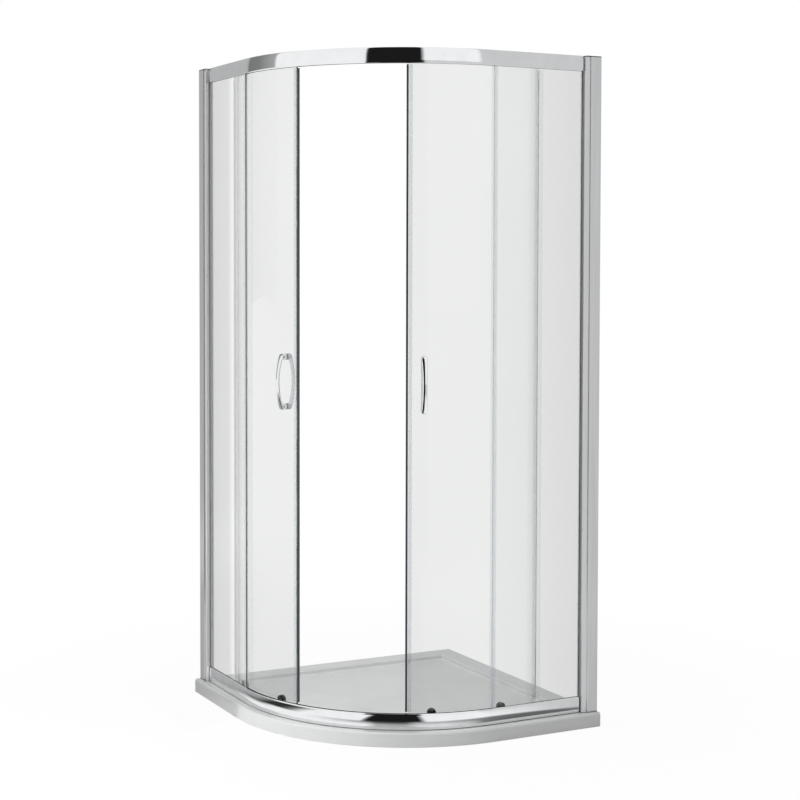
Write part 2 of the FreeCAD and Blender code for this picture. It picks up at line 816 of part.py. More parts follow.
def build_screws():
    rail_screws = []
    profile_screws = []
    covers = []
    chamber_front = cell("upright_front") + cell("glass_bite") + cell("slot_wall")
    inner_face = inwards(cell("profile_face_offset") + cell("profile_depth"))
    for side in SIDES:
        for level in rail_screw_levels:
            base = side_vector(side, chamber_front, inwards(cell("rail_screw_offset")), level)
            name = "rail_screw_%s_%d" % (side, number(level))
            rail_screws.append(screw(name, "rail_screw", base, side_vector(side, -1, 0, 0)))
        for level in three_levels(cell("profile_screw_low"), cell("profile_screw_step")):
            base = side_vector(side, cell("profile_screw_place"), inner_face, level)
            tag = "%s_%d" % (side, number(level))
            profile_screws.append(screw("profile_screw_" + tag, "profile_screw", base,
                                        side_vector(side, 0, -1, 0)))
            inside = side_vector(side, 0, 1, 0)
            cap = rod("cover_" + tag, cell("screw_cover_radius"), cell("screw_cover_height"),
                      base, inside)
            recess = rod("recess_" + tag, cell("screw_cover_bore"), cell("screw_cover_recess"),
                         base, inside)
            covers.append(combine("Part::Cut", "screw_cover_" + tag, cap, recess))
    group("rail_screws", rail_screws)
    group("profile_screws", profile_screws)
    group("screw_covers", covers)


def build_door_stops():
    """Rubber stops in the top track, where each door ends its travel, open and closed."""
    stops = []
    length = cell("stop_length")
    margin = cell("stop_margin")
    low_offset = wall_inner + cell("stop_gap")
    high_offset = cell("ledge_offset") - cell("stop_gap")
    open_along = cell("trail_roller") + cell("roller_travel") + cell("wheel_radius") + margin
    start = arc_centre + open_along - cell("door_radius") * (math.pi / 4)
    closed_along = cell("lead_roller") - cell("wheel_radius") - margin - length / 2
    for side in SIDES:
        stops.append(side_block(
            side, "open_stop_" + side, (start, inwards(low_offset), top_track),
            (start + length, inwards(high_offset), top_track + cell("stop_height"))))
        closed = doc.addObject("Part::Box", "closed_stop_" + side)
        bind(closed, "Length", high_offset - low_offset)
        bind(closed, "Width", length)
        bind(closed, "Height", cell("stop_height"))
        turn = FreeCAD.Rotation(AXIS_Z, number(door_angle(side, closed_along)))
        corner = FreeCAD.Vector(number(radius - high_offset), -number(length) / 2, 0)
        centre = FreeCAD.Vector(number(arc_centre), number(arc_centre), number(top_track))
        closed.Placement = FreeCAD.Placement(centre + turn.multVec(corner), turn)
        stops.append(closed)
    group("door_stops", stops)


# ---------------------------------------------------------------- doors
def door_strip(name, side, rows, low, high):
    """A strip along the curved glass; rows are (radius, length along) corners in order.

    Neighbouring corners on one radius are joined by an arc of that radius.
    """
    corners = [polar(size, along) for size, along in rows]
    arcs = {}
    for index, (size, along) in enumerate(rows):
        next_size, next_along = rows[(index + 1) % len(rows)]
        if abs(number(size) - number(next_size)) < 1e-6:
            arcs[index] = (size, 1 if number(next_along) > number(along) else -1)
    corners, arcs = mirrored(side, corners, arcs)
    body = prism(name, corners, low, high, arcs)
    body.Placement = on_door(side)
    return body


def cut_radial_holes(body, side, along, levels, size):
    """Holes through the curved glass, square to it."""
    sketch_angle = number(door_angle(side, along)) - 270.0
    sketch = new_sketch(body, "XZ_Plane", turn_about=AXIS_Y, angle=sketch_angle)
    draw_circles(sketch, [(0, level) for level in levels], size)
    pocket(body, sketch)


def build_door_panel(side):
    glass_start = cell("door_gap") + cell("magnet_width") + cell("carrier_web")
    glass_end = cell("door_glass_end")
    glass = door_strip("door_glass_" + side, side, [
        (door_inner, glass_end), (door_inner, glass_start),
        (door_outer, glass_start), (door_outer, glass_end)],
        cell("door_glass_bottom"), cell("door_glass_top"))
    hole = cell("glass_hole_radius")
    for along in (cell("lead_roller"), cell("trail_roller")):
        cut_radial_holes(glass, side, along, [cell("runner_bolt_height"), top_axle], hole)
    cut_radial_holes(glass, side, cell("handle_along"), handle_levels(cell("handle_height")), hole)
    keep(glass, "door_glass_" + side)

    wall = cell("carrier_wall")
    web = glass_start - cell("carrier_web")
    lap = glass_start + cell("carrier_lap")
    carrier = door_strip("magnet_carrier_" + side, side, [
        (door_inner - wall, lap), (door_inner - wall, web),
        (door_outer + wall, web), (door_outer + wall, lap),
        (door_outer, lap), (door_outer, glass_start),
        (door_inner, glass_start), (door_inner, lap)], seal_low, seal_high)
    keep(carrier, "magnet_carrier_" + side)

    half_magnet = cell("magnet_thick") / 2
    magnet = door_strip("magnet_strip_" + side, side, [
        (cell("door_radius") - half_magnet, web),
        (cell("door_radius") - half_magnet, cell("door_gap")),
        (cell("door_radius") + half_magnet, cell("door_gap")),
        (cell("door_radius") + half_magnet, web)], seal_low, seal_high)
    keep(magnet, "magnet_strip_" + side)

    wall = cell("trailing_wall")
    web = glass_end + cell("trailing_web")
    lap = glass_end - cell("trailing_lap")
    fin_end = web + cell("trailing_fin")
    fin_back = door_outer + wall - cell("trailing_fin_thick")
    trailing = door_strip("trailing_seal_" + side, side, [
        (door_inner - wall, web), (door_inner - wall, lap), (door_inner, lap),
        (door_inner, glass_end), (door_outer, glass_end), (door_outer, lap), (door_outer + wall, lap),
        (door_outer + wall, fin_end), (fin_back, fin_end), (fin_back, web)], seal_low, seal_high)
    keep(trailing, "trailing_seal_" + side)


def handle_levels(middle):
    """The heights of a handle's two bosses about a middle height."""
    return [middle + cell("handle_pitch") * (sign / 2) for sign in (-1, 1)]


def bow_radius(half_chord, sagitta):
    return (half_chord * half_chord + sagitta * sagitta) / (sagitta * 2)


def handle_body(name):
    """A bow handle: a crescent strap, waisted in front view, on two round bosses."""
    body = doc.addObject("PartDesign::Body", name)
    tip = cell("handle_length") / 2
    strap = cell("handle_strap")
    foot = glass_half + cell("handle_stand")
    strap_end = foot - strap * 0.8
    outer_bow = bow_radius(tip, cell("handle_reach") - foot)
    inner_bow = bow_radius(tip, cell("handle_reach") - strap - strap_end)
    sketch = new_sketch(body, "XZ_Plane")
    draw_loop(sketch, [(strap_end, -tip), (foot, -tip), (foot, tip), (strap_end, tip)],
              {1: (outer_bow, 1), 3: (inner_bow, -1)})
    pad(body, sketch, cell("handle_end_width"), symmetric=True)

    end_half = cell("handle_end_width") / 2
    waist = (cell("handle_end_width") - cell("handle_middle_width")) / 2
    sides = new_sketch(body, "YZ_Plane")
    for sign in (-1, 1):
        edge = end_half * sign
        beyond = edge * 2
        draw_loop(sides, [(edge, -tip), (edge, tip), (beyond, tip), (beyond, -tip)],
                  {0: (bow_radius(tip, waist), -sign)})
    pocket(body, sides)
    long_edges = ["Edge%d" % index for index, edge in enumerate(body.Shape.Edges, start=1)
                  if edge.BoundBox.ZLength > number(tip) * 0.75]
    strap_cut = body.Tip
    rounding = body.newObject("PartDesign::Fillet", name + "_rounding")
    rounding.Base = (strap_cut, long_edges)
    bind(rounding, "Radius", cell("handle_rounding"))
    doc.recompute()

    boss_base = glass_half + cell("washer_thick") + cell("clamp_gap")
    boss_top = strap_end + strap / 2
    centres = [(0, level) for level in handle_levels(Size(0.0, "0"))]
    bosses = new_sketch(body, "YZ_Plane", lift=boss_base)
    draw_circles(bosses, centres, cell("handle_boss_radius"))
    pad(body, bosses, boss_top - boss_base)
    bores = new_sketch(body, "YZ_Plane", lift=boss_base)
    draw_circles(bores, centres, pin_bore)
    pocket(body, bores, cell("handle_bore_depth"), reverse=True)
    return body


def build_handles(side):
    place = on_door_at(side, cell("handle_along"), cell("handle_height"))
    flip = FreeCAD.Placement(FreeCAD.Vector(), FreeCAD.Rotation(AXIS_Z, 180))
    for name, turn in (("handle_outer_", FreeCAD.Placement()), ("handle_inner_", flip)):
        body = handle_body(name + side)
        body.Placement = place.multiply(turn)
        keep(body, name + side)
    studs = []
    washers = []
    stud_start = FreeCAD.Vector(-DIMENSIONS["handle_stud_length"] / 2, 0, 0)
    stud_place = FreeCAD.Placement(stud_start, FreeCAD.Rotation(AXIS_Y, 90))
    thick = cell("washer_thick")
    face = glass_half + cell("washer_gap")
    for boss, level in zip(("low", "high"), handle_levels(cell("handle_height"))):
        spot = on_door_at(side, cell("handle_along"), level)
        tag = "%s_%s" % (side, boss)
        stud = doc.addObject("Part::Cylinder", "stud_" + tag)
        bind(stud, "Radius", cell("axle_radius"))
        bind(stud, "Height", cell("handle_stud_length"))
        stud.Placement = spot.multiply(stud_place)
        studs.append(stud)
        for name, start in (("washer_outer_", face), ("washer_inner_", -face - thick)):
            ring = turned(name + tag, [
                (start, cell("washer_bore")), (start, cell("handle_boss_radius")),
                (start + thick, cell("handle_boss_radius")), (start + thick, cell("washer_bore"))])
            ring.Placement = spot
            washers.append(ring)
    group("handle_studs_" + side, studs)
    group("handle_washers_" + side, washers)


def wheel_body(name):
    start = cell("wheel_place")
    end = start + cell("wheel_width")
    rim = cell("wheel_radius")
    bevel = cell("wheel_bevel")
    recess = cell("wheel_recess_radius")
    recess_floor = end - cell("wheel_recess_depth")
    return turned(name, [
        (start, pin_bore), (start, rim - bevel), (start + bevel, rim), (end - bevel, rim),
        (end, rim - bevel), (end, recess), (recess_floor, recess), (recess_floor, pin_bore)])


def axle_body(name, inner_end, shoulder_start):
    """A runner axle with a shoulder behind the wheel and a head in the wheel's recess."""
    pin = cell("axle_radius")
    shoulder = cell("axle_shoulder_radius")
    shoulder_end = cell("wheel_place") - cell("axle_shoulder_gap")
    head = cell("axle_head_radius")
    head_end = cell("wheel_place") + cell("wheel_width") - cell("axle_shoulder_gap")
    head_start = head_end - cell("axle_head_thick")
    return turned(name, [
        (inner_end, 0), (inner_end, pin), (shoulder_start, pin), (shoulder_start, shoulder),
        (shoulder_end, shoulder), (shoulder_end, pin), (head_start, pin), (head_start, head),
        (head_end, head), (head_end, 0)])


def runner_body(name):
    """The black lower runner: a boss clamped to the glass, with a foot down to the axle."""
    body = doc.addObject("PartDesign::Body", name)
    boss = cell("runner_boss_radius")
    foot = cell("runner_foot_radius")
    drop = bottom_axle - cell("runner_bolt_height")
    sketch = new_sketch(body, "YZ_Plane", lift=clamp_face)
    draw_loop(sketch, [(boss, 0), (0, boss), (-boss, 0), (-foot, drop), (0, drop - foot), (foot, drop)],
              {0: (boss, 1), 1: (boss, 1), 3: (foot, 1), 4: (foot, 1)})
    pad(body, sketch, cell("runner_thick"), reverse=True)
    pins = new_sketch(body, "YZ_Plane", lift=clamp_face)
    draw_circles(pins, [(0, 0), (0, drop)], pin_bore)
    pocket(body, pins, cell("runner_bore_depth"))
    recess = new_sketch(body, "YZ_Plane", lift=runner_inner)
    draw_circles(recess, [(0, cell("button_height") - cell("runner_bolt_height"))], cell("button_bore"))
    pocket(body, recess, cell("button_bore_depth"), reverse=True)
    return body


def bolt_body(name):
    """The bolt that clamps a lower runner, with a low head on the outer side of the glass."""
    inner_end = clamp_face - cell("runner_bore_depth") + cell("clamp_gap")
    pin = cell("axle_radius")
    head = cell("bolt_head_radius")
    head_start = glass_half + cell("running_gap")
    head_end = head_start + cell("bolt_head_thick")
    bevel = cell("bolt_head_bevel")
    return turned(name, [
        (inner_end, 0), (inner_end, pin), (head_start, pin), (head_start, head),
        (head_end - bevel / 2, head), (head_end, head - bevel), (head_end, 0)])


def hanger_body(name):
    """The upper runner's round clamp on the inner side of the glass."""
    outer = clamp_face
    inner = outer - cell("hanger_thick")
    bevel = cell("hanger_bevel")
    rim = cell("hanger_radius")
    return turned(name, [
        (inner, pin_bore), (inner, rim - bevel), (inner + bevel, rim), (outer, rim), (outer, pin_bore)])


def button_body(name):
    """A release button, set in the runner's recess."""
    size = cell("button_radius")
    bevel = cell("button_bevel")
    inner = runner_inner - cell("button_proud")
    outer = runner_inner + cell("button_depth")
    return turned(name, [
        (outer, 0), (outer, size), (inner + bevel, size), (inner, size - bevel), (inner, 0)])


def build_runners(side):
    hangers = []
    axles = []
    runners = []
    bolts = []
    for role in ("lead", "trail"):
        along = cell(role + "_roller")
        tag = "%s_%s" % (role, side)
        upper = on_door_at(side, along, top_axle)
        lower = on_door_at(side, along, bottom_axle)
        clamp = on_door_at(side, along, cell("runner_bolt_height"))
        shoulder = glass_half + cell("clamp_gap")
        pieces = (
            (hangers, hanger_body("top_hanger_" + tag), upper),
            (axles, axle_body("top_axle_" + tag, -cell("top_axle_length"), shoulder), upper),
            (axles, axle_body("bottom_axle_" + tag, -cell("bottom_axle_length"), shoulder), lower),
            (runners, runner_body("bottom_runner_" + tag), clamp),
            (bolts, bolt_body("runner_bolt_" + tag), clamp))
        for collection, piece, place in pieces:
            piece.Placement = place
            collection.append(piece)
        for name, place in (("top_wheel_", upper), ("bottom_wheel_", lower)):
            wheel = wheel_body(name + tag)
            wheel.Placement = place
            keep(wheel, name + tag)
        button = button_body("release_button_" + tag)
        button.Placement = on_door_at(side, along, cell("button_height"))
        keep(button, "release_button_" + tag)
    group("top_hangers_" + side, hangers)
    group("runner_axles_" + side, axles)
    group("bottom_runners_" + side, runners)
    group("runner_bolts_" + side, bolts)


# ---------------------------------------------------------------- assembly
build_tray()
build_waste()
build_rails()
for each_side in SIDES:
    build_uprights(each_side)
    build_fixed_glass(each_side)
    build_corner_blocks(each_side)
build_screws()
build_door_stops()
for each_side in SIDES:
    build_door_panel(each_side)
    build_handles(each_side)
    build_runners(each_side)

doc.recompute()
for item in doc.Objects:
    if "Invalid" in item.State or "Error" in item.State:
        raise RuntimeError("%s did not build: %s" % (item.Name, item.State))
for node in nodes:
    if node.Shape.isNull() or not node.Shape.isValid():
        raise RuntimeError("%s has no valid shape" % node.Label)

os.makedirs("parts", exist_ok=True)
for node in nodes:
    node.Shape.exportStep("parts/%s.step" % node.Label)
    box = node.Shape.optimalBoundingBox(True, False)
    print("%-26s %2d solid(s) %12.0f mm3  x %.1f..%.1f y %.1f..%.1f z %.1f..%.1f" % (
        node.Label, len(node.Shape.Solids), node.Shape.Volume,
        box.XMin, box.XMax, box.YMin, box.YMax, box.ZMin, box.ZMax))
print("%d nodes" % len(nodes))
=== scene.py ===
# Looks of the quadrant shower enclosure: materials, finely curved meshes, studio and camera.
# Lengths in this file are millimetres until they reach Blender, which works in metres.
import json
import math

import bmesh
import bpy
from mathutils import Matrix, Vector


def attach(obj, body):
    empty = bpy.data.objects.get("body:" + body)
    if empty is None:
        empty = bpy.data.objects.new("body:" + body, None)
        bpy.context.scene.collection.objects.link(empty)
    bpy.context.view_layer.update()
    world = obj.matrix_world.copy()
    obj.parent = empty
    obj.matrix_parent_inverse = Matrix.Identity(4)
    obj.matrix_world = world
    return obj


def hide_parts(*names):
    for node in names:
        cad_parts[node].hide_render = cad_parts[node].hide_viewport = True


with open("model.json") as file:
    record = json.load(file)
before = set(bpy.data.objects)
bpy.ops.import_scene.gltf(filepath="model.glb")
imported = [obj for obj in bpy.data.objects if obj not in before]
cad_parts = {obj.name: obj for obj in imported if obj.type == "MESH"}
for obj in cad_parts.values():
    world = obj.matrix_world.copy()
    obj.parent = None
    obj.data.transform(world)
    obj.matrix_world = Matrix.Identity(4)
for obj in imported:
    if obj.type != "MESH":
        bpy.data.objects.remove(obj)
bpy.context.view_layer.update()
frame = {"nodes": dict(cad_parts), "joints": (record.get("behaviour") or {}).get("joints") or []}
NODES = frame["nodes"]
MM = 0.001
SIDES = ("left", "right")

# plan of the tray's front edge: two straights and a quarter arc about (CENTRE, CENTRE)
HALF, RADIUS, CENTRE = 450.0, 550.0, 100.0
ARC_STEPS, STRAIGHT_STEPS = 72, 6
TRAY_TOP, WASTE_AT = 40.0, -197.0

# the fixed front: where rails end, uprights and wall profiles begin, and the rubber under them
RAIL_END, UPRIGHT_FRONT, PROFILE_FRONT = 397.0, 398.0, 415.0
JOINT = 1.6

# the curved doors: radius of the glass's middle, lengths along the arc from the closing plane
DOOR_RADIUS, GLASS_HALF = 505.0, 3.0
GLASS_LOW, GLASS_HIGH = 68.0, 1912.0
DOOR_LOW, DOOR_HIGH = 87.5, 1875.5
DOOR_START, DOOR_END = 8.0, 413.0
HANDLE_ALONG, HANDLE_HEIGHT, HANDLE_PITCH = 51.0, 996.0, 141.0
ROLLERS, ROLLER_HEIGHTS = (75.0, 286.0), (82.0, 1899.7)

# looks: the depths that bound the painted highlight behind the fixed glass are in metres, COOL is how much
# of each colour a mirrored grey has
GLASS_IOR = 1.32
PVC_ROUGHNESS, COAT_ROUGHNESS, STAGE_ROUGHNESS = 0.14, 0.06, 0.9
HIGHLIGHT_DEPTH = (-0.4150, -0.4142)
COOL = (1.0, 1.005, 1.01)


# ---------------------------------------------------------------- materials
def shader_tree(name):
    """A new material with its node tree, its surface shader and its output."""
    mat = bpy.data.materials.new(name)
    mat.use_nodes = True
    tree = mat.node_tree
    return mat, tree, tree.nodes["Principled BSDF"], tree.nodes["Material Output"]


def maths(tree, operation, first, second=None):
    """A maths node on one or two sockets or numbers."""
    node = tree.nodes.new("ShaderNodeMath")
    node.operation = operation
    for socket, value in zip(node.inputs, (first, second)):
        if isinstance(value, bpy.types.NodeSocket):
            tree.links.new(value, socket)
        elif value is not None:
            socket.default_value = value
    return node.outputs["Value"]


def coordinates(tree, kind="Object"):
    """X and Y of the place in the piece, or of the direction in the world."""
    place = tree.nodes.new("ShaderNodeTexCoord")
    split = tree.nodes.new("ShaderNodeSeparateXYZ")
    tree.links.new(place.outputs[kind], split.inputs["Vector"])
    return split.outputs["X"], split.outputs["Y"]


def noise(tree, scale, detail=2.0, stretch=(1, 1, 1)):
    """A noise value over the piece; stretch draws it out along an axis."""
    place = tree.nodes.new("ShaderNodeTexCoord")
    mapping = tree.nodes.new("ShaderNodeMapping")
    mapping.inputs["Scale"].default_value = stretch
    tree.links.new(place.outputs["Object"], mapping.inputs["Vector"])
    texture = tree.nodes.new("ShaderNodeTexNoise")
    texture.inputs["Scale"].default_value = scale
    texture.inputs["Detail"].default_value = detail
    tree.links.new(mapping.outputs["Vector"], texture.inputs["Vector"])
    return texture.outputs["Fac"]


def ranged(tree, value, low, high, first, last):
    """Maps low..high of a value onto first..last."""
    node = tree.nodes.new("ShaderNodeMapRange")
    for name, number in (("From Min", low), ("From Max", high), ("To Min", first), ("To Max", last)):
        node.inputs[name].default_value = number
    tree.links.new(value, node.inputs["Value"])
    return node.outputs["Result"]


def spread(tree, value, low, high):
    """Maps the middle of a noise onto low..high."""
    return ranged(tree, value, 0.3, 0.7, low, high)


def blended(tree, factor, first, second, how="MIX"):
    """A colour mix of two sockets or plain colours."""
    node = tree.nodes.new("ShaderNodeMix")
    node.data_type = "RGBA"
    node.blend_type = how
    for name, value in (("Factor", factor), ("A", first), ("B", second)):
        if isinstance(value, bpy.types.NodeSocket):
            tree.links.new(value, node.inputs[name])
        elif name == "Factor":
            node.inputs[name].default_value = value
        else:
            node.inputs[name].default_value = (*value, 1)
    return node.outputs["Result"]


def ramp(tree, factor, stops, tint=(1, 1, 1)):
    """A colour ramp from (position, value) stops."""
    node = tree.nodes.new("ShaderNodeValToRGB")
    elements = node.color_ramp.elements
    for index, (position, value) in enumerate(stops):
        stop = elements[index] if index < 2 else elements.new(position)
        stop.position = position
        stop.color = (*(value * share for share in tint), 1)
    tree.links.new(factor, node.inputs["Fac"])
    return node.outputs["Color"]


def mixed(tree, factor, first, second):
    """A mix of two shaders."""
    node = tree.nodes.new("ShaderNodeMixShader")
    tree.links.new(factor, node.inputs["Fac"])
    tree.links.new(first, node.inputs[1])
    tree.links.new(second, node.inputs[2])
    return node.outputs["Shader"]


def transparent(tree, tint):
    """A shader that lets everything through, tinted."""
    node = tree.nodes.new("ShaderNodeBsdfTransparent")
    node.inputs["Color"].default_value = (*tint, 1)
    return node.outputs["BSDF"]


def bump(tree, bsdf, value, distance):
    """Relief of a height in metres on a surface shader."""
    node = tree.nodes.new("ShaderNodeBump")
    node.inputs["Distance"].default_value = distance
    tree.links.new(value, node.inputs["Height"])
    tree.links.new(node.outputs["Normal"], bsdf.inputs["Normal"])


def plain(name, first, second, rough, scale=40.0, metallic=0.0, coat=0.0, grain=0.0,
          grain_scale=900.0, stretch=(1, 1, 1), painted_highlight=None):
    """A material whose colour, roughness and relief all vary a little.

    The last argument gives the colour of a painted highlight: the piece is painted pale on the room side of
    the fixed glass's inner face, and is not metal there."""
    mat, tree, bsdf, _ = shader_tree(name)
    tone = noise(tree, scale, 3.0, stretch)
    color = blended(tree, spread(tree, tone, 0, 1), first, second)
    bsdf.inputs["Metallic"].default_value = metallic
    # painted highlight: pale, and not metal, on the room side of the fixed glass's inner face
    if painted_highlight:
        depth = maths(tree, "MINIMUM", *coordinates(tree))
        color = blended(tree, ranged(tree, depth, *HIGHLIGHT_DEPTH, 0.0, 1.0), color, painted_highlight)
        if metallic:
            tree.links.new(ranged(tree, depth, *HIGHLIGHT_DEPTH, metallic, 0.0), bsdf.inputs["Metallic"])
    tree.links.new(color, bsdf.inputs["Base Color"])
    wear = noise(tree, scale * 2.3, 4.0, stretch)
    tree.links.new(spread(tree, wear, *rough), bsdf.inputs["Roughness"])
    if coat:
        bsdf.inputs["Coat Weight"].default_value = coat
        bsdf.inputs["Coat Roughness"].default_value = COAT_ROUGHNESS
    if grain:
        bump(tree, bsdf, noise(tree, grain_scale, 2.0, stretch), grain)
    return mat


def see_through(name, first, second, lamp_tint, scale=2.0, rough=0.0, painted_shade=()):
    """Clear material that lets the lamps' light through to what is behind it.

    The last argument lists (metres from the middle of the square, share) pairs of painted shade that darken
    a panel along its width, most towards its upright."""
    mat, tree, bsdf, output = shader_tree(name)
    tint = blended(tree, spread(tree, noise(tree, scale, 1.0), 0, 1), first, second)
    # painted shade: the glass's tint is darkened along the panel's width
    if painted_shade:
        along = maths(tree, "MAXIMUM", *coordinates(tree))
        tint = blended(tree, 1.0, tint, ramp(tree, along, painted_shade), "MULTIPLY")
    tree.links.new(tint, bsdf.inputs["Base Color"])
    bsdf.inputs["Roughness"].default_value = rough
    bsdf.inputs["IOR"].default_value = GLASS_IOR
    bsdf.inputs["Transmission Weight"].default_value = 1.0
    path = tree.nodes.new("ShaderNodeLightPath")
    tree.links.new(mixed(tree, path.outputs["Is Shadow Ray"], bsdf.outputs["BSDF"],
                         transparent(tree, lamp_tint)), output.inputs["Surface"])
    return mat


def clear_strip(name, first, second, tint, body):
    """Clear flexible PVC: see-through where it is looked at squarely, milky along its edges.

    body is how milky it is when looked at squarely and at its edges."""
    mat, tree, bsdf, output = shader_tree(name)
    tone = noise(tree, 60.0, 2.0, (1, 1, 0.05))
    tree.links.new(blended(tree, spread(tree, tone, 0, 1), first, second), bsdf.inputs["Base Color"])
    bsdf.inputs["Roughness"].default_value = PVC_ROUGHNESS
    edge = tree.nodes.new("ShaderNodeLayerWeight")
    edge.inputs["Blend"].default_value = 0.3
    share = ranged(tree, edge.outputs["Facing"], 0.0, 1.0, *body)
    tree.links.new(mixed(tree, share, transparent(tree, tint), bsdf.outputs["BSDF"]),
                   output.inputs["Surface"])
    return mat


MATERIALS = {
    "acrylic": plain("acrylic", (0.80, 0.81, 0.81), (0.84, 0.845, 0.845), (0.16, 0.26), 6.0,
                     coat=0.35, grain=0.00002, grain_scale=260.0),
    "chrome": plain("chrome", (0.80, 0.81, 0.82), (0.86, 0.865, 0.87), (0.03, 0.07), 30.0, metallic=1.0),
    "profile": plain("profile", (0.70, 0.71, 0.72), (0.78, 0.79, 0.795), (0.07, 0.13), 60.0, metallic=1.0,
                     stretch=(1, 1, 0.04), grain=0.000006, grain_scale=700.0),
    # the upright is painted pale on its room side: a painted highlight
    "satin_profile": plain("satin_profile", (0.90, 0.905, 0.91), (0.95, 0.955, 0.96), (0.14, 0.22), 60.0,
                           metallic=0.6, stretch=(1, 1, 0.04), grain=0.000006, grain_scale=700.0,
                           painted_highlight=(0.93, 0.935, 0.94)),
    "rail": plain("rail", (0.82, 0.83, 0.835), (0.87, 0.875, 0.88), (0.02, 0.05), 30.0, metallic=1.0),
    "glass": see_through("glass", (0.833, 0.838, 0.837), (0.848, 0.851, 0.851), (0.985, 0.987, 0.987)),
    # the fixed glass carries painted shade, darker towards its upright
    "fixed_glass": see_through("fixed_glass", (0.972, 0.976, 0.975), (0.98, 0.983, 0.983),
                               (0.985, 0.987, 0.987),
                               painted_shade=((0.10, 0.965), (0.215, 0.945), (0.245, 0.775), (0.41, 0.715))),
    "glass_edge": see_through("glass_edge", (0.42, 0.55, 0.53), (0.5, 0.62, 0.6), (0.6, 0.7, 0.68),
                              30.0, 0.1),
    "clear_seal": clear_strip("clear_seal", (0.60, 0.63, 0.64), (0.68, 0.71, 0.72), (0.965, 0.972, 0.975),
                              (0.05, 0.5)),
    "thin_seal": clear_strip("thin_seal", (0.70, 0.72, 0.735), (0.77, 0.785, 0.80), (0.975, 0.98, 0.985),
                             (0.04, 0.45)),
    "lip_seal": clear_strip("lip_seal", (0.76, 0.775, 0.79), (0.82, 0.835, 0.845), (0.985, 0.988, 0.992),
                            (0.02, 0.22)),
    "magnet": plain("magnet", (0.06, 0.066, 0.072), (0.085, 0.092, 0.1), (0.25, 0.4), 120.0,
                    stretch=(1, 1, 0.05)),
    "magnet_face": plain("magnet_face", (0.010, 0.011, 0.012), (0.02, 0.021, 0.022), (0.4, 0.55), 120.0,
                         stretch=(1, 1, 0.05)),
    "joint_seal": plain("joint_seal", (0.012, 0.013, 0.014), (0.024, 0.025, 0.026), (0.5, 0.7), 160.0,
                        grain=0.00003),
    # the gasket is painted pale on its room side: a painted highlight
    "gasket": plain("gasket", (0.30, 0.304, 0.307), (0.37, 0.374, 0.377), (0.5, 0.7), 160.0, grain=0.00003,
                    painted_highlight=(0.9, 0.905, 0.91)),
    "black_plastic": plain("black_plastic", (0.010, 0.010, 0.011), (0.02, 0.02, 0.021), (0.16, 0.3), 90.0,
                           grain=0.00002),
    "grey_plastic": plain("grey_plastic", (0.5, 0.51, 0.52), (0.58, 0.59, 0.6), (0.35, 0.5), 90.0,
                          grain=0.00003),
    "wheel": plain("wheel", (0.74, 0.74, 0.71), (0.8, 0.8, 0.77), (0.3, 0.45), 120.0),
    "steel": plain("steel", (0.55, 0.55, 0.56), (0.66, 0.66, 0.67), (0.18, 0.32), 150.0, metallic=1.0,
                   grain=0.00001),
}


# ---------------------------------------------------------------- mesh helpers
def make(name, verts, faces, look, body, *stands_for, slot=None, bevel=0.0, segments=2, angle=35,
         face_looks=None):
    """Links a mesh given in millimetres, shades it and puts it on its CAD body."""
    mesh = bpy.data.meshes.new(name)
    mesh.from_pydata([(x * MM, y * MM, z * MM) for x, y, z in verts], [], faces)
    mesh.validate()
    obj = bpy.data.objects.new(name, mesh)
    bpy.context.scene.collection.objects.link(obj)
    looks = [look] if isinstance(look, str) else list(look)
    for item in looks:
        mesh.materials.append(MATERIALS[item])
    if face_looks:
        for polygon, index in zip(mesh.polygons, face_looks):
            polygon.material_index = index
    work = bmesh.new()
    work.from_mesh(mesh)
    bmesh.ops.remove_doubles(work, verts=work.verts, dist=1e-7)
    bmesh.ops.recalc_face_normals(work, faces=work.faces)
    work.to_mesh(mesh)
    work.free()
    smooth(obj, bevel, segments, angle)
    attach(obj, body)
    if stands_for:
        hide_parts(*stands_for)


def smooth(obj, bevel=0.0, segments=2, angle=35, weld=False):
    """Smooth shading with true flat faces, and a small round on every sharp edge."""
    if weld:
        step = obj.modifiers.new("weld", "WELD")
        step.merge_threshold = 2e-5
    else:
        obj.data.shade_smooth()
        if not bevel:
            obj.data.set_sharp_from_angle(angle=math.radians(angle))
    if bevel:
        step = obj.modifiers.new("edges", "BEVEL")
        step.width = bevel * MM
        step.segments = segments
        step.limit_method = "ANGLE"
        step.angle_limit = math.radians(angle)
        step.use_clamp_overlap = True
        step.miter_outer = "MITER_ARC"
        step.harden_normals = False
    step = obj.modifiers.new("normals", "WEIGHTED_NORMAL")
    step.keep_sharp = True
    step.weight = 80


def closed_strip(rows, verts, faces, cap_ends=True):
    """Joins rows of points, each a closed loop of the same count, into a skin."""
    start = len(verts)
    count = len(rows[0])
    for row in rows:
        verts.extend(row)
    for i in range(len(rows) - 1):
        for j in range(count):
            k = (j + 1) % count
            a = start + i * count
            b = a + count
            faces.append((a + j, a + k, b + k, b + j))
    if cap_ends:
        faces.append(tuple(start + j for j in range(count)))
        last = start + (len(rows) - 1) * count
        faces.append(tuple(last + j for j in reversed(range(count))))


def rail_face(low, high):
    """A rail's face from high to low, bulging outwards on a radius of bend."""
    inset, bend, steps = 27.6, 166.0, 14
    half_height = (high - low) / 2
    inner = math.sqrt(bend * bend - half_height * half_height)
    return [(inset + inner - math.sqrt(bend * bend - (z - half_height - low) ** 2), z)
            for z in [high - (high - low) * k / steps for k in range(steps + 1)]]


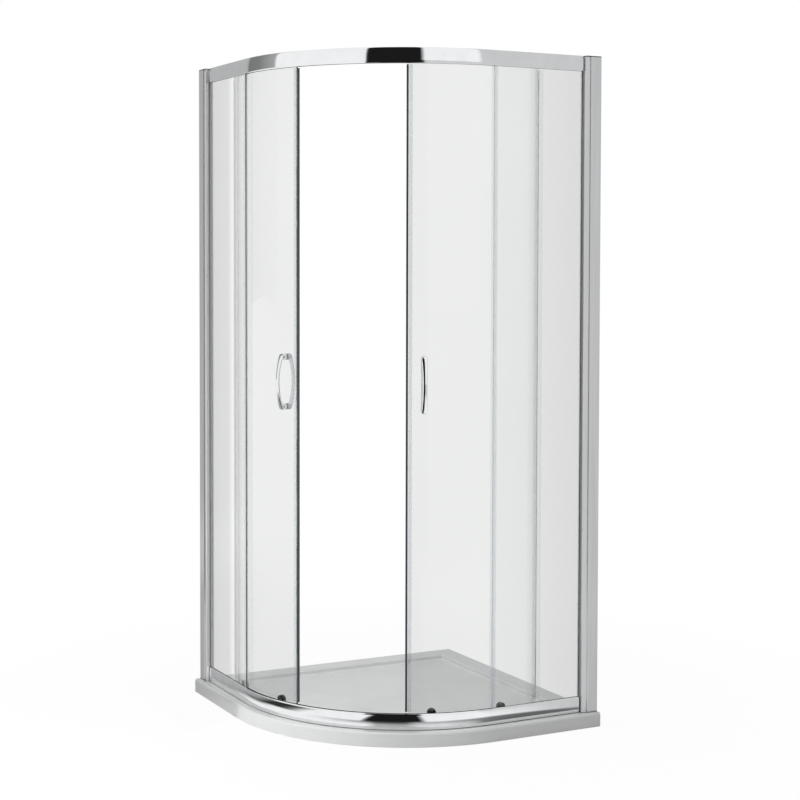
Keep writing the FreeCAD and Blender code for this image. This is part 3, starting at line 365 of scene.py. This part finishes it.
def front_stations():
    """Points of the tray's front edge with their inward normals, from one rail end to the other."""
    result = []
    for k in range(STRAIGHT_STEPS):
        y = RAIL_END + (CENTRE - RAIL_END) * k / STRAIGHT_STEPS
        result.append((-HALF, y, 1.0, 0.0))
    for k in range(ARC_STEPS + 1):
        a = math.pi + math.pi / 2 * k / ARC_STEPS
        result.append((CENTRE + RADIUS * math.cos(a), CENTRE + RADIUS * math.sin(a),
                       -math.cos(a), -math.sin(a)))
    for k in range(1, STRAIGHT_STEPS + 1):
        x = CENTRE + (RAIL_END - CENTRE) * k / STRAIGHT_STEPS
        result.append((x, -HALF, 0.0, 1.0))
    return result


def door_turn(side):
    """A door's hinge and how far its rest pose is turned from shut."""
    joint = next(j for j in frame["joints"] if j["name"] == "slide_door_" + side)
    pivot = Vector(joint["pos_m"]) / MM
    angle = -math.radians(joint["range_deg"][0]) * joint["axis"][2]
    return pivot, angle


def door_point(side, size, along, height):
    """A point of a door at rest: radius from the arc's centre, length from the closing plane."""
    sign = 1 if side == "right" else -1
    a = math.radians(225) + sign * along / DOOR_RADIUS
    pivot, turn = door_turn(side)
    x = CENTRE + size * math.cos(a) - pivot.x
    y = CENTRE + size * math.sin(a) - pivot.y
    return (pivot.x + x * math.cos(turn) - y * math.sin(turn),
            pivot.y + x * math.sin(turn) + y * math.cos(turn), height)


def door_strip(name, side, rows, look, stands_for, slot=None, dark_edge=None):
    """A strip along the curved glass, from a plan outline of (radius, along) corners.

    dark_edge is the one side of the outline that takes the second look."""
    pitch, bevel = 7.0, 0.3
    outline = []
    for index, (size, along) in enumerate(rows):
        next_size, next_along = rows[(index + 1) % len(rows)]
        steps = max(1, math.ceil(abs(next_along - along) / pitch)) if abs(size - next_size) < 1e-6 else 1
        for k in range(steps):
            outline.append((size + (next_size - size) * k / steps, along + (next_along - along) * k / steps))
    verts, faces = [], []
    levels = [DOOR_LOW + (DOOR_HIGH - DOOR_LOW) * k / 4 for k in range(5)]
    closed_strip([[door_point(side, s, a, z) for s, a in outline] for z in levels], verts, faces)
    looks = None
    if dark_edge is not None:
        looks = [1 if j == dark_edge else 0 for _ in levels[1:] for j in range(len(outline))] + [0, 0]
    make(name, verts, faces, look, "door_" + side, stands_for, bevel=bevel, segments=1, slot=slot,
         face_looks=looks)


# ---------------------------------------------------------------- tray
def tray_loop(front, wall, height):
    """The tray's plan, inset by front on the free sides and by wall on the two wall sides."""
    edge = HALF - wall
    rim = HALF - front
    size = RADIUS - front
    wall_shares, side_steps = (0.1, 0.6, 1.0), 5
    points = [(edge, edge)] + [(-rim * share, edge) for share in wall_shares]
    for k in range(1, side_steps):
        points.append((-rim, edge + (CENTRE - edge) * k / side_steps))
    for k in range(ARC_STEPS + 1):
        a = math.pi + math.pi / 2 * k / ARC_STEPS
        points.append((CENTRE + size * math.cos(a), CENTRE + size * math.sin(a)))
    for k in range(1, side_steps):
        points.append((CENTRE + (edge - CENTRE) * k / side_steps, -rim))
    points += [(edge, -rim * share) for share in reversed(wall_shares)]
    return [(x, y, height) for x, y in points]


def circle_loop(like, size, height):
    """A circle about the waste with one point for each point of another loop."""
    turns = [math.atan2(y - WASTE_AT, x - WASTE_AT) for x, y, _ in like]
    return [(WASTE_AT + size * math.cos(a), WASTE_AT + size * math.sin(a), height) for a in turns]


def build_tray():
    """The tray's skin: rounded rim, basin with a small lip and foot, and the waste's stepped hole."""
    edge, skirt = 7.0, 12.0
    loops = [tray_loop(0, 0, 0), tray_loop(0, 0, skirt), tray_loop(0, 0, TRAY_TOP - edge)]
    for k in range(1, 7):
        a = math.pi / 2 * k / 6
        loops.append(tray_loop(edge * (1 - math.cos(a)), 0, TRAY_TOP - edge + edge * math.sin(a)))
    inset, depth, lip, foot = 64.0, 14.0, 3.0, 6.0
    rim_end, basin_start = inset - lip - 14, inset + 40
    loops.append(tray_loop(rim_end, rim_end, TRAY_TOP))
    for k in range(0, 5):
        a = math.pi / 2 * k / 4
        step = inset - lip + lip * math.sin(a)
        loops.append(tray_loop(step, step, TRAY_TOP - lip + lip * math.cos(a)))
    floor = TRAY_TOP - depth
    for k in range(0, 6):
        a = math.pi / 2 * k / 5
        step = inset + foot - foot * math.cos(a)
        loops.append(tray_loop(step, step, floor + foot - foot * math.sin(a)))
    last = loops[-1]
    loops.append(tray_loop(basin_start, basin_start, floor))
    waste_hole = ((66, floor), (59.5, floor), (58, floor - 1), (58, floor - 3), (44, floor - 3),
                  (43, floor - 4), (43, 0))
    loops += [circle_loop(last, size, height) for size, height in waste_hole]
    verts, faces = [], []
    closed_strip(loops, verts, faces, cap_ends=False)
    end = (len(loops) - 1) * len(last)
    for j in range(len(last)):
        k = (j + 1) % len(last)
        faces.append((k, j, end + j, end + k))
    make("tray_shell", verts, faces, "acrylic", "frame", "shower_tray", angle=40)


build_tray()


# ---------------------------------------------------------------- rails
def build_rail(name, section, stands_for, seal_edges=(), end_piece=0.0):
    """Sweeps the section round the front; seal_edges are the section's sides in black rubber.

    end_piece is the length at both ends that shows the black of the corner blocks."""
    stations = front_stations()
    if end_piece:
        start = RAIL_END - end_piece
        stations.insert(1, (-HALF, start, 1.0, 0.0))
        stations.insert(-1, (start, -HALF, 0.0, 1.0))
    rows = [[(bx + nx * o, by + ny * o, z) for o, z in section] for bx, by, nx, ny in stations]
    verts, faces = [], []
    closed_strip(rows, verts, faces)
    last = len(rows) - 2
    looks = [1 if j in seal_edges or (end_piece and i in (0, last)) else 0
             for i in range(last + 1) for j in range(len(section))]
    make(name, verts, faces, ("rail", "joint_seal"), "frame", stands_for, angle=28, slot="chrome",
         face_looks=looks + [0, 0])


def build_bottom_rail():
    """The lower rail, on its black seal."""
    low, high = TRAY_TOP, 86.0
    face = rail_face(low + JOINT, high - 1.2)
    section = ([(28.8, high), (28.1, high - 0.3)] + face
               + [(29.6, low + JOINT), (29.6, low), (44.0, low), (44.0, low + 2.2), (31.5, low + 2.2),
                  (31.5, 49.5), (38.6, 49.5), (38.6, 51.7), (31.5, 51.7), (31.5, 73.8), (38.1, 73.8),
                  (38.1, high), (36.5, high), (36.5, high - 10), (29.5, high - 10), (29.5, high)])
    first_seal = 1 + len(face)
    build_rail("bottom_rail_skin", section, "bottom_rail", (first_seal, first_seal + 1), 3.0)


def build_top_rail():
    """The upper rail, closed on top."""
    low, high = 1877.0, 1920.0
    face = rail_face(low + 0.9, high - 1.2)
    section = ([(50.0, high - 2.2), (50.0, high), (28.8, high), (28.1, high - 0.3)] + face
               + [(28.0, low + 0.3), (28.6, low), (29.5, low), (29.5, low + 10), (36.5, low + 10),
                  (36.5, low), (38.1, low), (38.1, low + 10), (38.6, low + 10), (38.6, 1889.2),
                  (31.5, 1889.2), (31.5, high - 2.2)])
    build_rail("top_rail_skin", section, "top_rail")


build_bottom_rail()
build_top_rail()


def swap(side, x, y, z):
    """A point of the right side, mirrored over the diagonal for the left."""
    return (x, y, z) if side == "right" else (y, x, z)


def build_foot_seals(side):
    """Thin black line where the upright and the wall profile stand on the tray."""
    show, wall = 0.2, HALF - 0.1
    front, step = UPRIGHT_FRONT - 2 * show, PROFILE_FRONT - show
    path = [(front, -HALF + 19.8), (step, -HALF + 19.8), (step, -HALF + 16.8), (wall, -HALF + 16.8)]
    back = [(wall, -HALF + 22.2), (step + 2.6, -HALF + 22.2), (step + 2.6, -HALF + 23.6),
            (UPRIGHT_FRONT + 2.0, -HALF + 23.6)]
    rows = [[swap(side, x, y, z) for x, y in path + back] for z in (TRAY_TOP, TRAY_TOP + JOINT)]
    verts, faces = [], []
    closed_strip(rows, verts, faces)
    make("foot_seal_" + side, verts, faces, "joint_seal", "frame", slot="gasket", angle=30)


for side in SIDES:
    build_foot_seals(side)


# ---------------------------------------------------------------- curved doors
def build_glass(side):
    """Curved 6 mm glass with its drilled holes, as a grid with a ring of faces round each hole."""
    inner, outer = DOOR_RADIUS - GLASS_HALF, DOOR_RADIUS + GLASS_HALF
    start, end = DOOR_START, DOOR_END
    low, high = GLASS_LOW, GLASS_HIGH
    holes = [(HANDLE_ALONG, HANDLE_HEIGHT + HANDLE_PITCH * k) for k in (-0.5, 0.5)]
    holes += [(along, height) for along in ROLLERS for height in ROLLER_HEIGHTS]
    hole_size, reach, margin, parts = 5.0, 8.0, 1.5, 4
    alongs = {round(start + (end - start) * k / 66, 4) for k in range(67)}
    heights = {low, high} | {round(low + (high - low) * k / 12, 4) for k in range(13)}
    for along, height in holes:
        alongs = {a for a in alongs if a in (start, end) or abs(a - along) > reach + margin}
        heights = {h for h in heights if h in (low, high) or abs(h - height) > reach + margin}
    for along, height in holes:
        alongs |= {along - reach + 2 * reach * k / parts for k in range(parts + 1)}
        heights |= {height - reach + 2 * reach * k / parts for k in range(parts + 1)}
    alongs, heights = sorted(alongs), sorted(heights)
    verts, faces, looks = [], [], []
    where = {}

    def at(size, along, height):
        key = (size, round(along, 5), round(height, 5))
        if key not in where:
            where[key] = len(verts)
            verts.append(door_point(side, size, along, height))
        return where[key]

    def in_hole(along, height):
        return any(abs(along - a) < reach and abs(height - h) < reach for a, h in holes)

    for size in (inner, outer):
        for a0, a1 in zip(alongs, alongs[1:]):
            for h0, h1 in zip(heights, heights[1:]):
                if not in_hole((a0 + a1) / 2, (h0 + h1) / 2):
                    faces.append((at(size, a0, h0), at(size, a1, h0), at(size, a1, h1), at(size, a0, h1)))
                    looks.append(0)
    for a0, a1 in zip(alongs, alongs[1:]):
        for height in (low, high):
            faces.append((at(inner, a0, height), at(inner, a1, height), at(outer, a1, height),
                          at(outer, a0, height)))
            looks.append(1)
    for h0, h1 in zip(heights, heights[1:]):
        for along in (start, end):
            faces.append((at(inner, along, h0), at(inner, along, h1), at(outer, along, h1),
                          at(outer, along, h0)))
            looks.append(1)
    for along, height in holes:
        steps = [-reach + 2 * reach * k / parts for k in range(parts)]
        square = ([(step, -reach) for step in steps] + [(reach, step) for step in steps]
                  + [(-step, reach) for step in steps] + [(-reach, -step) for step in steps])
        ring = [(x / math.hypot(x, y) * hole_size, y / math.hypot(x, y) * hole_size) for x, y in square]
        for k in range(len(square)):
            m = (k + 1) % len(square)
            for size in (inner, outer):
                faces.append(tuple(at(size, along + x, height + y)
                                   for x, y in (square[k], square[m], ring[m], ring[k])))
                looks.append(0)
            faces.append((at(inner, along + ring[k][0], height + ring[k][1]),
                          at(inner, along + ring[m][0], height + ring[m][1]),
                          at(outer, along + ring[m][0], height + ring[m][1]),
                          at(outer, along + ring[k][0], height + ring[k][1])))
            looks.append(1)
    make("curved_glass_" + side, verts, faces, ("glass", "glass_edge"), "door_" + side,
         "door_glass_" + side, angle=40, face_looks=looks)


def build_door_seals(side):
    """The clear channel and magnet on the leading edge, and the clear lip on the trailing edge."""
    inner, outer = DOOR_RADIUS - GLASS_HALF, DOOR_RADIUS + GLASS_HALF
    wall, web, lap, start = 1.4, 6.4, 17.5, DOOR_START
    door_strip("magnet_channel_" + side, side,
               [(inner - wall, lap), (inner - wall, web), (outer + wall, web), (outer + wall, lap),
                (outer, lap), (outer, start), (inner, start), (inner, lap)],
               "clear_seal", "magnet_carrier_" + side)
    face, half = 0.6, 2.5
    door_strip("magnet_bar_" + side, side,
               [(DOOR_RADIUS - half, web), (DOOR_RADIUS - half, face), (DOOR_RADIUS + half, face),
                (DOOR_RADIUS + half, web)],
               ("magnet", "magnet_face"), "magnet_strip_" + side, dark_edge=1)
    wall, web, lap, end = 1.6, DOOR_END + 2, DOOR_END - 13, DOOR_END
    fin_end, fin_back = DOOR_END + 17, outer + 0.6
    door_strip("trailing_lip_" + side, side,
               [(inner - wall, web), (inner - wall, lap), (inner, lap), (inner, end), (outer, end),
                (outer, lap), (outer + wall, lap), (outer + wall, fin_end), (fin_back, fin_end),
                (fin_back, web)],
               "lip_seal", "trailing_seal_" + side, slot="clear_seal")


for side in SIDES:
    build_glass(side)
    build_door_seals(side)


def bow(half_chord, rise, base, place):
    """Height of a shallow arc over its chord: base at both ends, base + rise in the middle."""
    size = (half_chord * half_chord + rise * rise) / (2 * rise)
    return base + rise - size + math.sqrt(size * size - place * place)


def build_handle(side, kind):
    """A bow handle: a lens-shaped strap, waisted in front view, on two turned bosses."""
    sign = 1 if kind == "outer" else -1
    tip, strap, reach, foot = 79.5, 5.5, 35.0, 17.0
    strap_end = foot - strap * 0.8
    # the strap is straight for this share of its half length, then narrows to these shares of itself
    straight, least_width, least_thickness = 0.925, 0.12, 0.35
    waist, flare = 6.0, 2.0

    def spot(u, r, z):
        return door_point(side, DOOR_RADIUS + sign * r, HANDLE_ALONG + u, HANDLE_HEIGHT + z)

    verts, faces, rows = [], [], []
    around = 24
    places = [tip * (1 - (1 - straight) * (1 - math.sin(math.pi / 2 * k / 5))) for k in range(6)]
    middle = [tip * straight * k / 22 for k in range(-22, 23)]
    for z in [-p for p in reversed(places[1:])] + middle + places[1:]:
        inset = max(0.0, abs(z) / tip - straight) / (1 - straight)
        size = max(least_width, math.sqrt(max(0.0, 1 - inset * inset)))
        outer = bow(tip, reach - foot, foot, z)
        inner = bow(tip, reach - strap - strap_end, strap_end, z)
        half_width = (waist + flare * (z / tip) ** 2) * size
        half_thick = (outer - inner) / 2 * max(least_thickness, size)
        flatness = 0.9 - 0.78 * (z / tip) ** 2
        row = []
        for k in range(around):
            a = 2 * math.pi * k / around
            across = math.copysign(abs(math.cos(a)) ** 0.8, math.cos(a))
            up = math.copysign(abs(math.sin(a)) ** flatness, math.sin(a))
            row.append(spot(half_width * across, (outer + inner) / 2 + half_thick * up, z))
        rows.append(row)
    closed_strip(rows, verts, faces)
    boss = ((8.2, 4.2), (8.8, 4.5), (9.0, 5.1), (9.0, 8.2), (8.7, 8.6), (8.7, 9.0), (9.0, 9.4), (9.0, 12.6),
            (8.6, 13.4), (7.6, 14.0))
    turns = [2 * math.pi * k / 40 for k in range(40)]
    for level in (-HANDLE_PITCH / 2, HANDLE_PITCH / 2):
        closed_strip([[spot(size * math.cos(a), r, level + size * math.sin(a)) for a in turns]
                      for size, r in boss], verts, faces)
    make("bow_handle_%s_%s" % (kind, side), verts, faces, "chrome", "door_" + side,
         "handle_%s_%s" % (kind, side), angle=40)


for side in SIDES:
    build_handle(side, "outer")
    build_handle(side, "inner")


# ---------------------------------------------------------------- the other CAD pieces
LOOKS = {
    "waste_flange": ("black_plastic", 0.4), "waste_cover": ("chrome", 0.5),
    "rail_screws": ("steel", 0.3), "profile_screws": ("steel", 0.3), "screw_covers": ("grey_plastic", 0.5),
    "door_stops": ("black_plastic", 0.8),
}
SIDE_LOOKS = {
    "upright": ("satin_profile", 0.5), "wall_profile": ("profile", 0.5),
    "profile_cap": ("black_plastic", 0.8), "corner_blocks": ("black_plastic", 0.3),
    "fixed_glass": ("fixed_glass", 0.0), "fixed_glass_seal": ("thin_seal", 0.2),
    "glazing_gasket": ("gasket", 0.5), "handle_studs": ("steel", 0.2), "handle_washers": ("thin_seal", 0.2),
    "top_hangers": ("black_plastic", 0.0), "bottom_runners": ("black_plastic", 0.6),
    "runner_axles": ("steel", 0.2), "runner_bolts": ("black_plastic", 0.0),
}
for side in SIDES:
    for name, look in SIDE_LOOKS.items():
        LOOKS[name + "_" + side] = look
    for role in ("lead", "trail"):
        LOOKS["top_wheel_%s_%s" % (role, side)] = ("wheel", 0.0)
        LOOKS["bottom_wheel_%s_%s" % (role, side)] = ("wheel", 0.0)
        LOOKS["release_button_%s_%s" % (role, side)] = ("grey_plastic", 0.0)

for name, obj in NODES.items():
    if name not in LOOKS:
        continue
    look, bevel = LOOKS[name]
    obj.data.materials.clear()
    obj.data.materials.append(MATERIALS[look])
    smooth(obj, bevel, weld=True)


# ---------------------------------------------------------------- studio
# What the bright metal mirrors: degrees from +X and how light it is there. ROOM is the far view,
# FLOOR the floor at growing distances in metres from the arc's centre.
ROOM = [(0, 0.66), (60, 0.55), (100, 0.52), (116, 0.50), (119, 0.21), (133, 0.24), (143, 0.36), (148.5, 0.4),
        (150.5, 1.0), (216.5, 1.0), (218, 0.012), (252, 0.012), (254.5, 1.0), (290, 1.0), (292.5, 0.66),
        (360, 0.66)]
FRONT_FLOOR = [(0, 0.6), (110, 0.5), (150, 0.44), (160, 0.36), (166, 0.2), (171, 0.035), (181, 0.035),
               (187, 0.2), (192, 0.7), (196, 1.0), (223.5, 1.0), (225.5, 0.012), (249.5, 0.012), (252, 1.0),
               (281, 1.0), (287, 0.88), (293, 0.74)]
FLOOR = [
    (0.66, [(0, 0.3), (90, 0.4), (150, 0.4), (165, 0.9), (170, 1.0), (228, 1.0), (232, 0.5), (243, 0.45),
            (249, 0.8), (258, 0.8), (268, 0.6), (274, 0.2), (281, 0.13), (330, 0.14), (360, 0.3)]),
    (0.74, [(0, 0.3), (90, 0.42), (150, 0.4), (160, 0.14), (171, 0.14), (179, 0.85), (184, 1.0), (199, 1.0),
            (212, 0.7), (226, 0.32), (230, 0.08), (243, 0.08), (248, 0.4), (257, 0.46), (271, 0.3),
            (288, 0.15), (330, 0.16), (360, 0.3)]),
    (0.8, FRONT_FLOOR + [(300, 0.6), (360, 0.6)]),
    (2.2, FRONT_FLOOR + [(300, 0.66), (360, 0.66)]),
    (3.8, [(0, 0.66), (116, 0.5), (120, 1.0), (216.5, 1.0), (218, 0.012), (253, 0.012), (255, 0.7),
           (290, 0.7), (293, 0.66), (360, 0.66)]),
]
# how the floor's own glow grows to the camera: from and to these metres, from and to these shares
GLOW = (0.62, 1.6, 0.95, 1.0)
SOFT_LIGHT = 0.38
FLOOR_HALF, FLOOR_Z = 40.0, -0.0005


def around(tree, x, y):
    """Share of a full turn at which a point stands, from +X."""
    return maths(tree, "FRACT", maths(tree, "DIVIDE", maths(tree, "ARCTAN2", y, x), 2 * math.pi))


def bands(tree, share, stops):
    """The value that (degrees, value) stops have at a share of a full turn."""
    return ramp(tree, share, [(degrees / 360, value) for degrees, value in stops], COOL)


def ray_kinds(tree):
    """Whether a ray shows the background directly or through glass, and whether it is a mirror ray."""
    path = tree.nodes.new("ShaderNodeLightPath")
    through = path.outputs["Is Transmission Ray"]
    seen = maths(tree, "MAXIMUM", path.outputs["Is Camera Ray"], through)
    mirror = maths(tree, "MULTIPLY", path.outputs["Is Glossy Ray"], maths(tree, "SUBTRACT", 1.0, through))
    return seen, mirror


def stage_tree(name, scale, first, second):
    """A new dull material for a stage piece."""
    mat, tree, bsdf, output = shader_tree(name)
    bsdf.inputs["Roughness"].default_value = STAGE_ROUGHNESS
    bsdf.inputs["Specular IOR Level"].default_value = 0.0
    tree.links.new(blended(tree, noise(tree, scale), first, second), bsdf.inputs["Base Color"])
    return mat, tree, bsdf, output


def floor_material():
    """White to the camera but for the object's own shadow, and banded where metal mirrors it."""
    mat, tree, bsdf, output = stage_tree("studio_floor", 3.0, (0.84, 0.84, 0.84), (0.88, 0.88, 0.88))
    x, y = (maths(tree, "SUBTRACT", value, CENTRE * MM) for value in coordinates(tree))
    square = maths(tree, "ADD", maths(tree, "MULTIPLY", x, x), maths(tree, "MULTIPLY", y, y))
    away, share = maths(tree, "SQRT", square), around(tree, x, y)
    seen, mirror = ray_kinds(tree)
    glow, shown = (tree.nodes.new("ShaderNodeEmission") for _ in range(2))
    pale = mixed(tree, maths(tree, "MULTIPLY", seen, ranged(tree, away, *GLOW)),
                 bsdf.outputs["BSDF"], glow.outputs["Emission"])
    view = bands(tree, share, FLOOR[0][1])
    for (start, _), (end, stops) in zip(FLOOR, FLOOR[1:]):
        view = blended(tree, ranged(tree, away, start, end, 0.0, 1.0), view, bands(tree, share, stops))
    tree.links.new(view, shown.inputs["Color"])
    tree.links.new(mixed(tree, mirror, pale, shown.outputs["Emission"]), output.inputs["Surface"])
    return mat


def stage_sheet(name, corners, material):
    """A flat stage piece from its corners in metres."""
    mesh = bpy.data.meshes.new(name)
    mesh.from_pydata(corners, [], [tuple(range(len(corners)))])
    obj = bpy.data.objects.new(name, mesh)
    bpy.context.scene.collection.objects.link(obj)
    mesh.materials.append(material)
    return obj


def hide(obj, *kinds):
    """Hides a studio piece from these kinds of rays."""
    for kind in kinds:
        setattr(obj, "visible_" + kind, False)


def build_stage():
    """The floor, and a flag that keeps the key lamp off the tray's left straight side."""
    corners = [(-1, -1), (1, -1), (1, 1), (-1, 1)]
    stage_sheet("studio_floor", [(x * FLOOR_HALF, y * FLOOR_HALF, FLOOR_Z) for x, y in corners],
                floor_material())
    x, near, far, height = -0.62, 0.0335, 0.62, 0.185
    dark = stage_tree("studio_black", 5.0, (0.01, 0.01, 0.01), (0.014, 0.014, 0.014))[0]
    corners = [(x, near, 0.0), (x, far, 0.0), (x, far, height), (x, near, height)]
    flag = stage_sheet("lamp_flag", corners, dark)
    hide(flag, "camera", "diffuse", "glossy", "transmission")


def background(tree, color, strength=1.0):
    """A world shader from a socket or a plain colour."""
    node = tree.nodes.new("ShaderNodeBackground")
    if isinstance(color, bpy.types.NodeSocket):
        tree.links.new(color, node.inputs["Color"])
    else:
        node.inputs["Color"].default_value = (*color, 1)
    node.inputs["Strength"].default_value = strength
    return node.outputs["Background"]


def build_world():
    """White to the camera and through glass, ROOM to mirrors, and an even soft light to the rest."""
    world = bpy.data.worlds.new("studio")
    bpy.context.scene.world = world
    world.use_nodes = True
    tree = world.node_tree
    tree.nodes.clear()
    output = tree.nodes.new("ShaderNodeOutputWorld")
    seen, mirror = ray_kinds(tree)
    room = background(tree, bands(tree, around(tree, *coordinates(tree, "Generated")), ROOM))
    lit = mixed(tree, mirror, background(tree, (1, 1, 1), SOFT_LIGHT), room)
    tree.links.new(mixed(tree, seen, lit, background(tree, (1, 1, 1))), output.inputs["Surface"])


def lamp(name, place, aim, width, power):
    """A square lamp that no camera, mirror or glass shows."""
    data = bpy.data.lights.new(name, "AREA")
    data.shape = "RECTANGLE"
    data.size = data.size_y = width
    data.energy = power
    obj = bpy.data.objects.new(name, data)
    bpy.context.scene.collection.objects.link(obj)
    obj.location = place
    obj.rotation_mode = "QUATERNION"
    obj.rotation_quaternion = (Vector(aim) - Vector(place)).to_track_quat("-Z", "Y")
    hide(obj, "camera", "glossy", "transmission")


build_stage()
build_world()
lamp("key_lamp", (-1.6, -0.35, 0.9), (-0.35, -0.15, 0.1), 0.22, 8.5)
lamp("sky_lamp", (-0.6, 0.2, 3.2), (0, 0, 0), 2.0, 36)


# ---------------------------------------------------------------- camera
def build_camera():
    """The photo's camera, from its place in metres and its turns in degrees."""
    place, turns = (-2.3014, -4.5084, 1.3451), (27.348, -2.334, 0.135)
    data = bpy.data.cameras.new("photo_camera")
    data.sensor_width = 36.0
    data.lens = 76.862
    data.shift_y = -0.09
    data.clip_end = 200
    camera = bpy.data.objects.new("photo_camera", data)
    bpy.context.scene.collection.objects.link(camera)
    yaw, pitch, roll = (math.radians(v) for v in turns)
    ahead = Vector((math.sin(yaw) * math.cos(pitch), math.cos(yaw) * math.cos(pitch), math.sin(pitch)))
    level = Vector((math.cos(yaw), -math.sin(yaw), 0))
    right = level * math.cos(roll) + level.cross(ahead) * math.sin(roll)
    up = right.cross(ahead)
    camera.matrix_world = Matrix([(right[k], up[k], -ahead[k], place[k]) for k in range(3)] + [(0, 0, 0, 1)])
    bpy.context.scene.camera = camera


build_camera()
bpy.context.scene.view_settings.view_transform = "Standard"

bpy.context.view_layer.update()
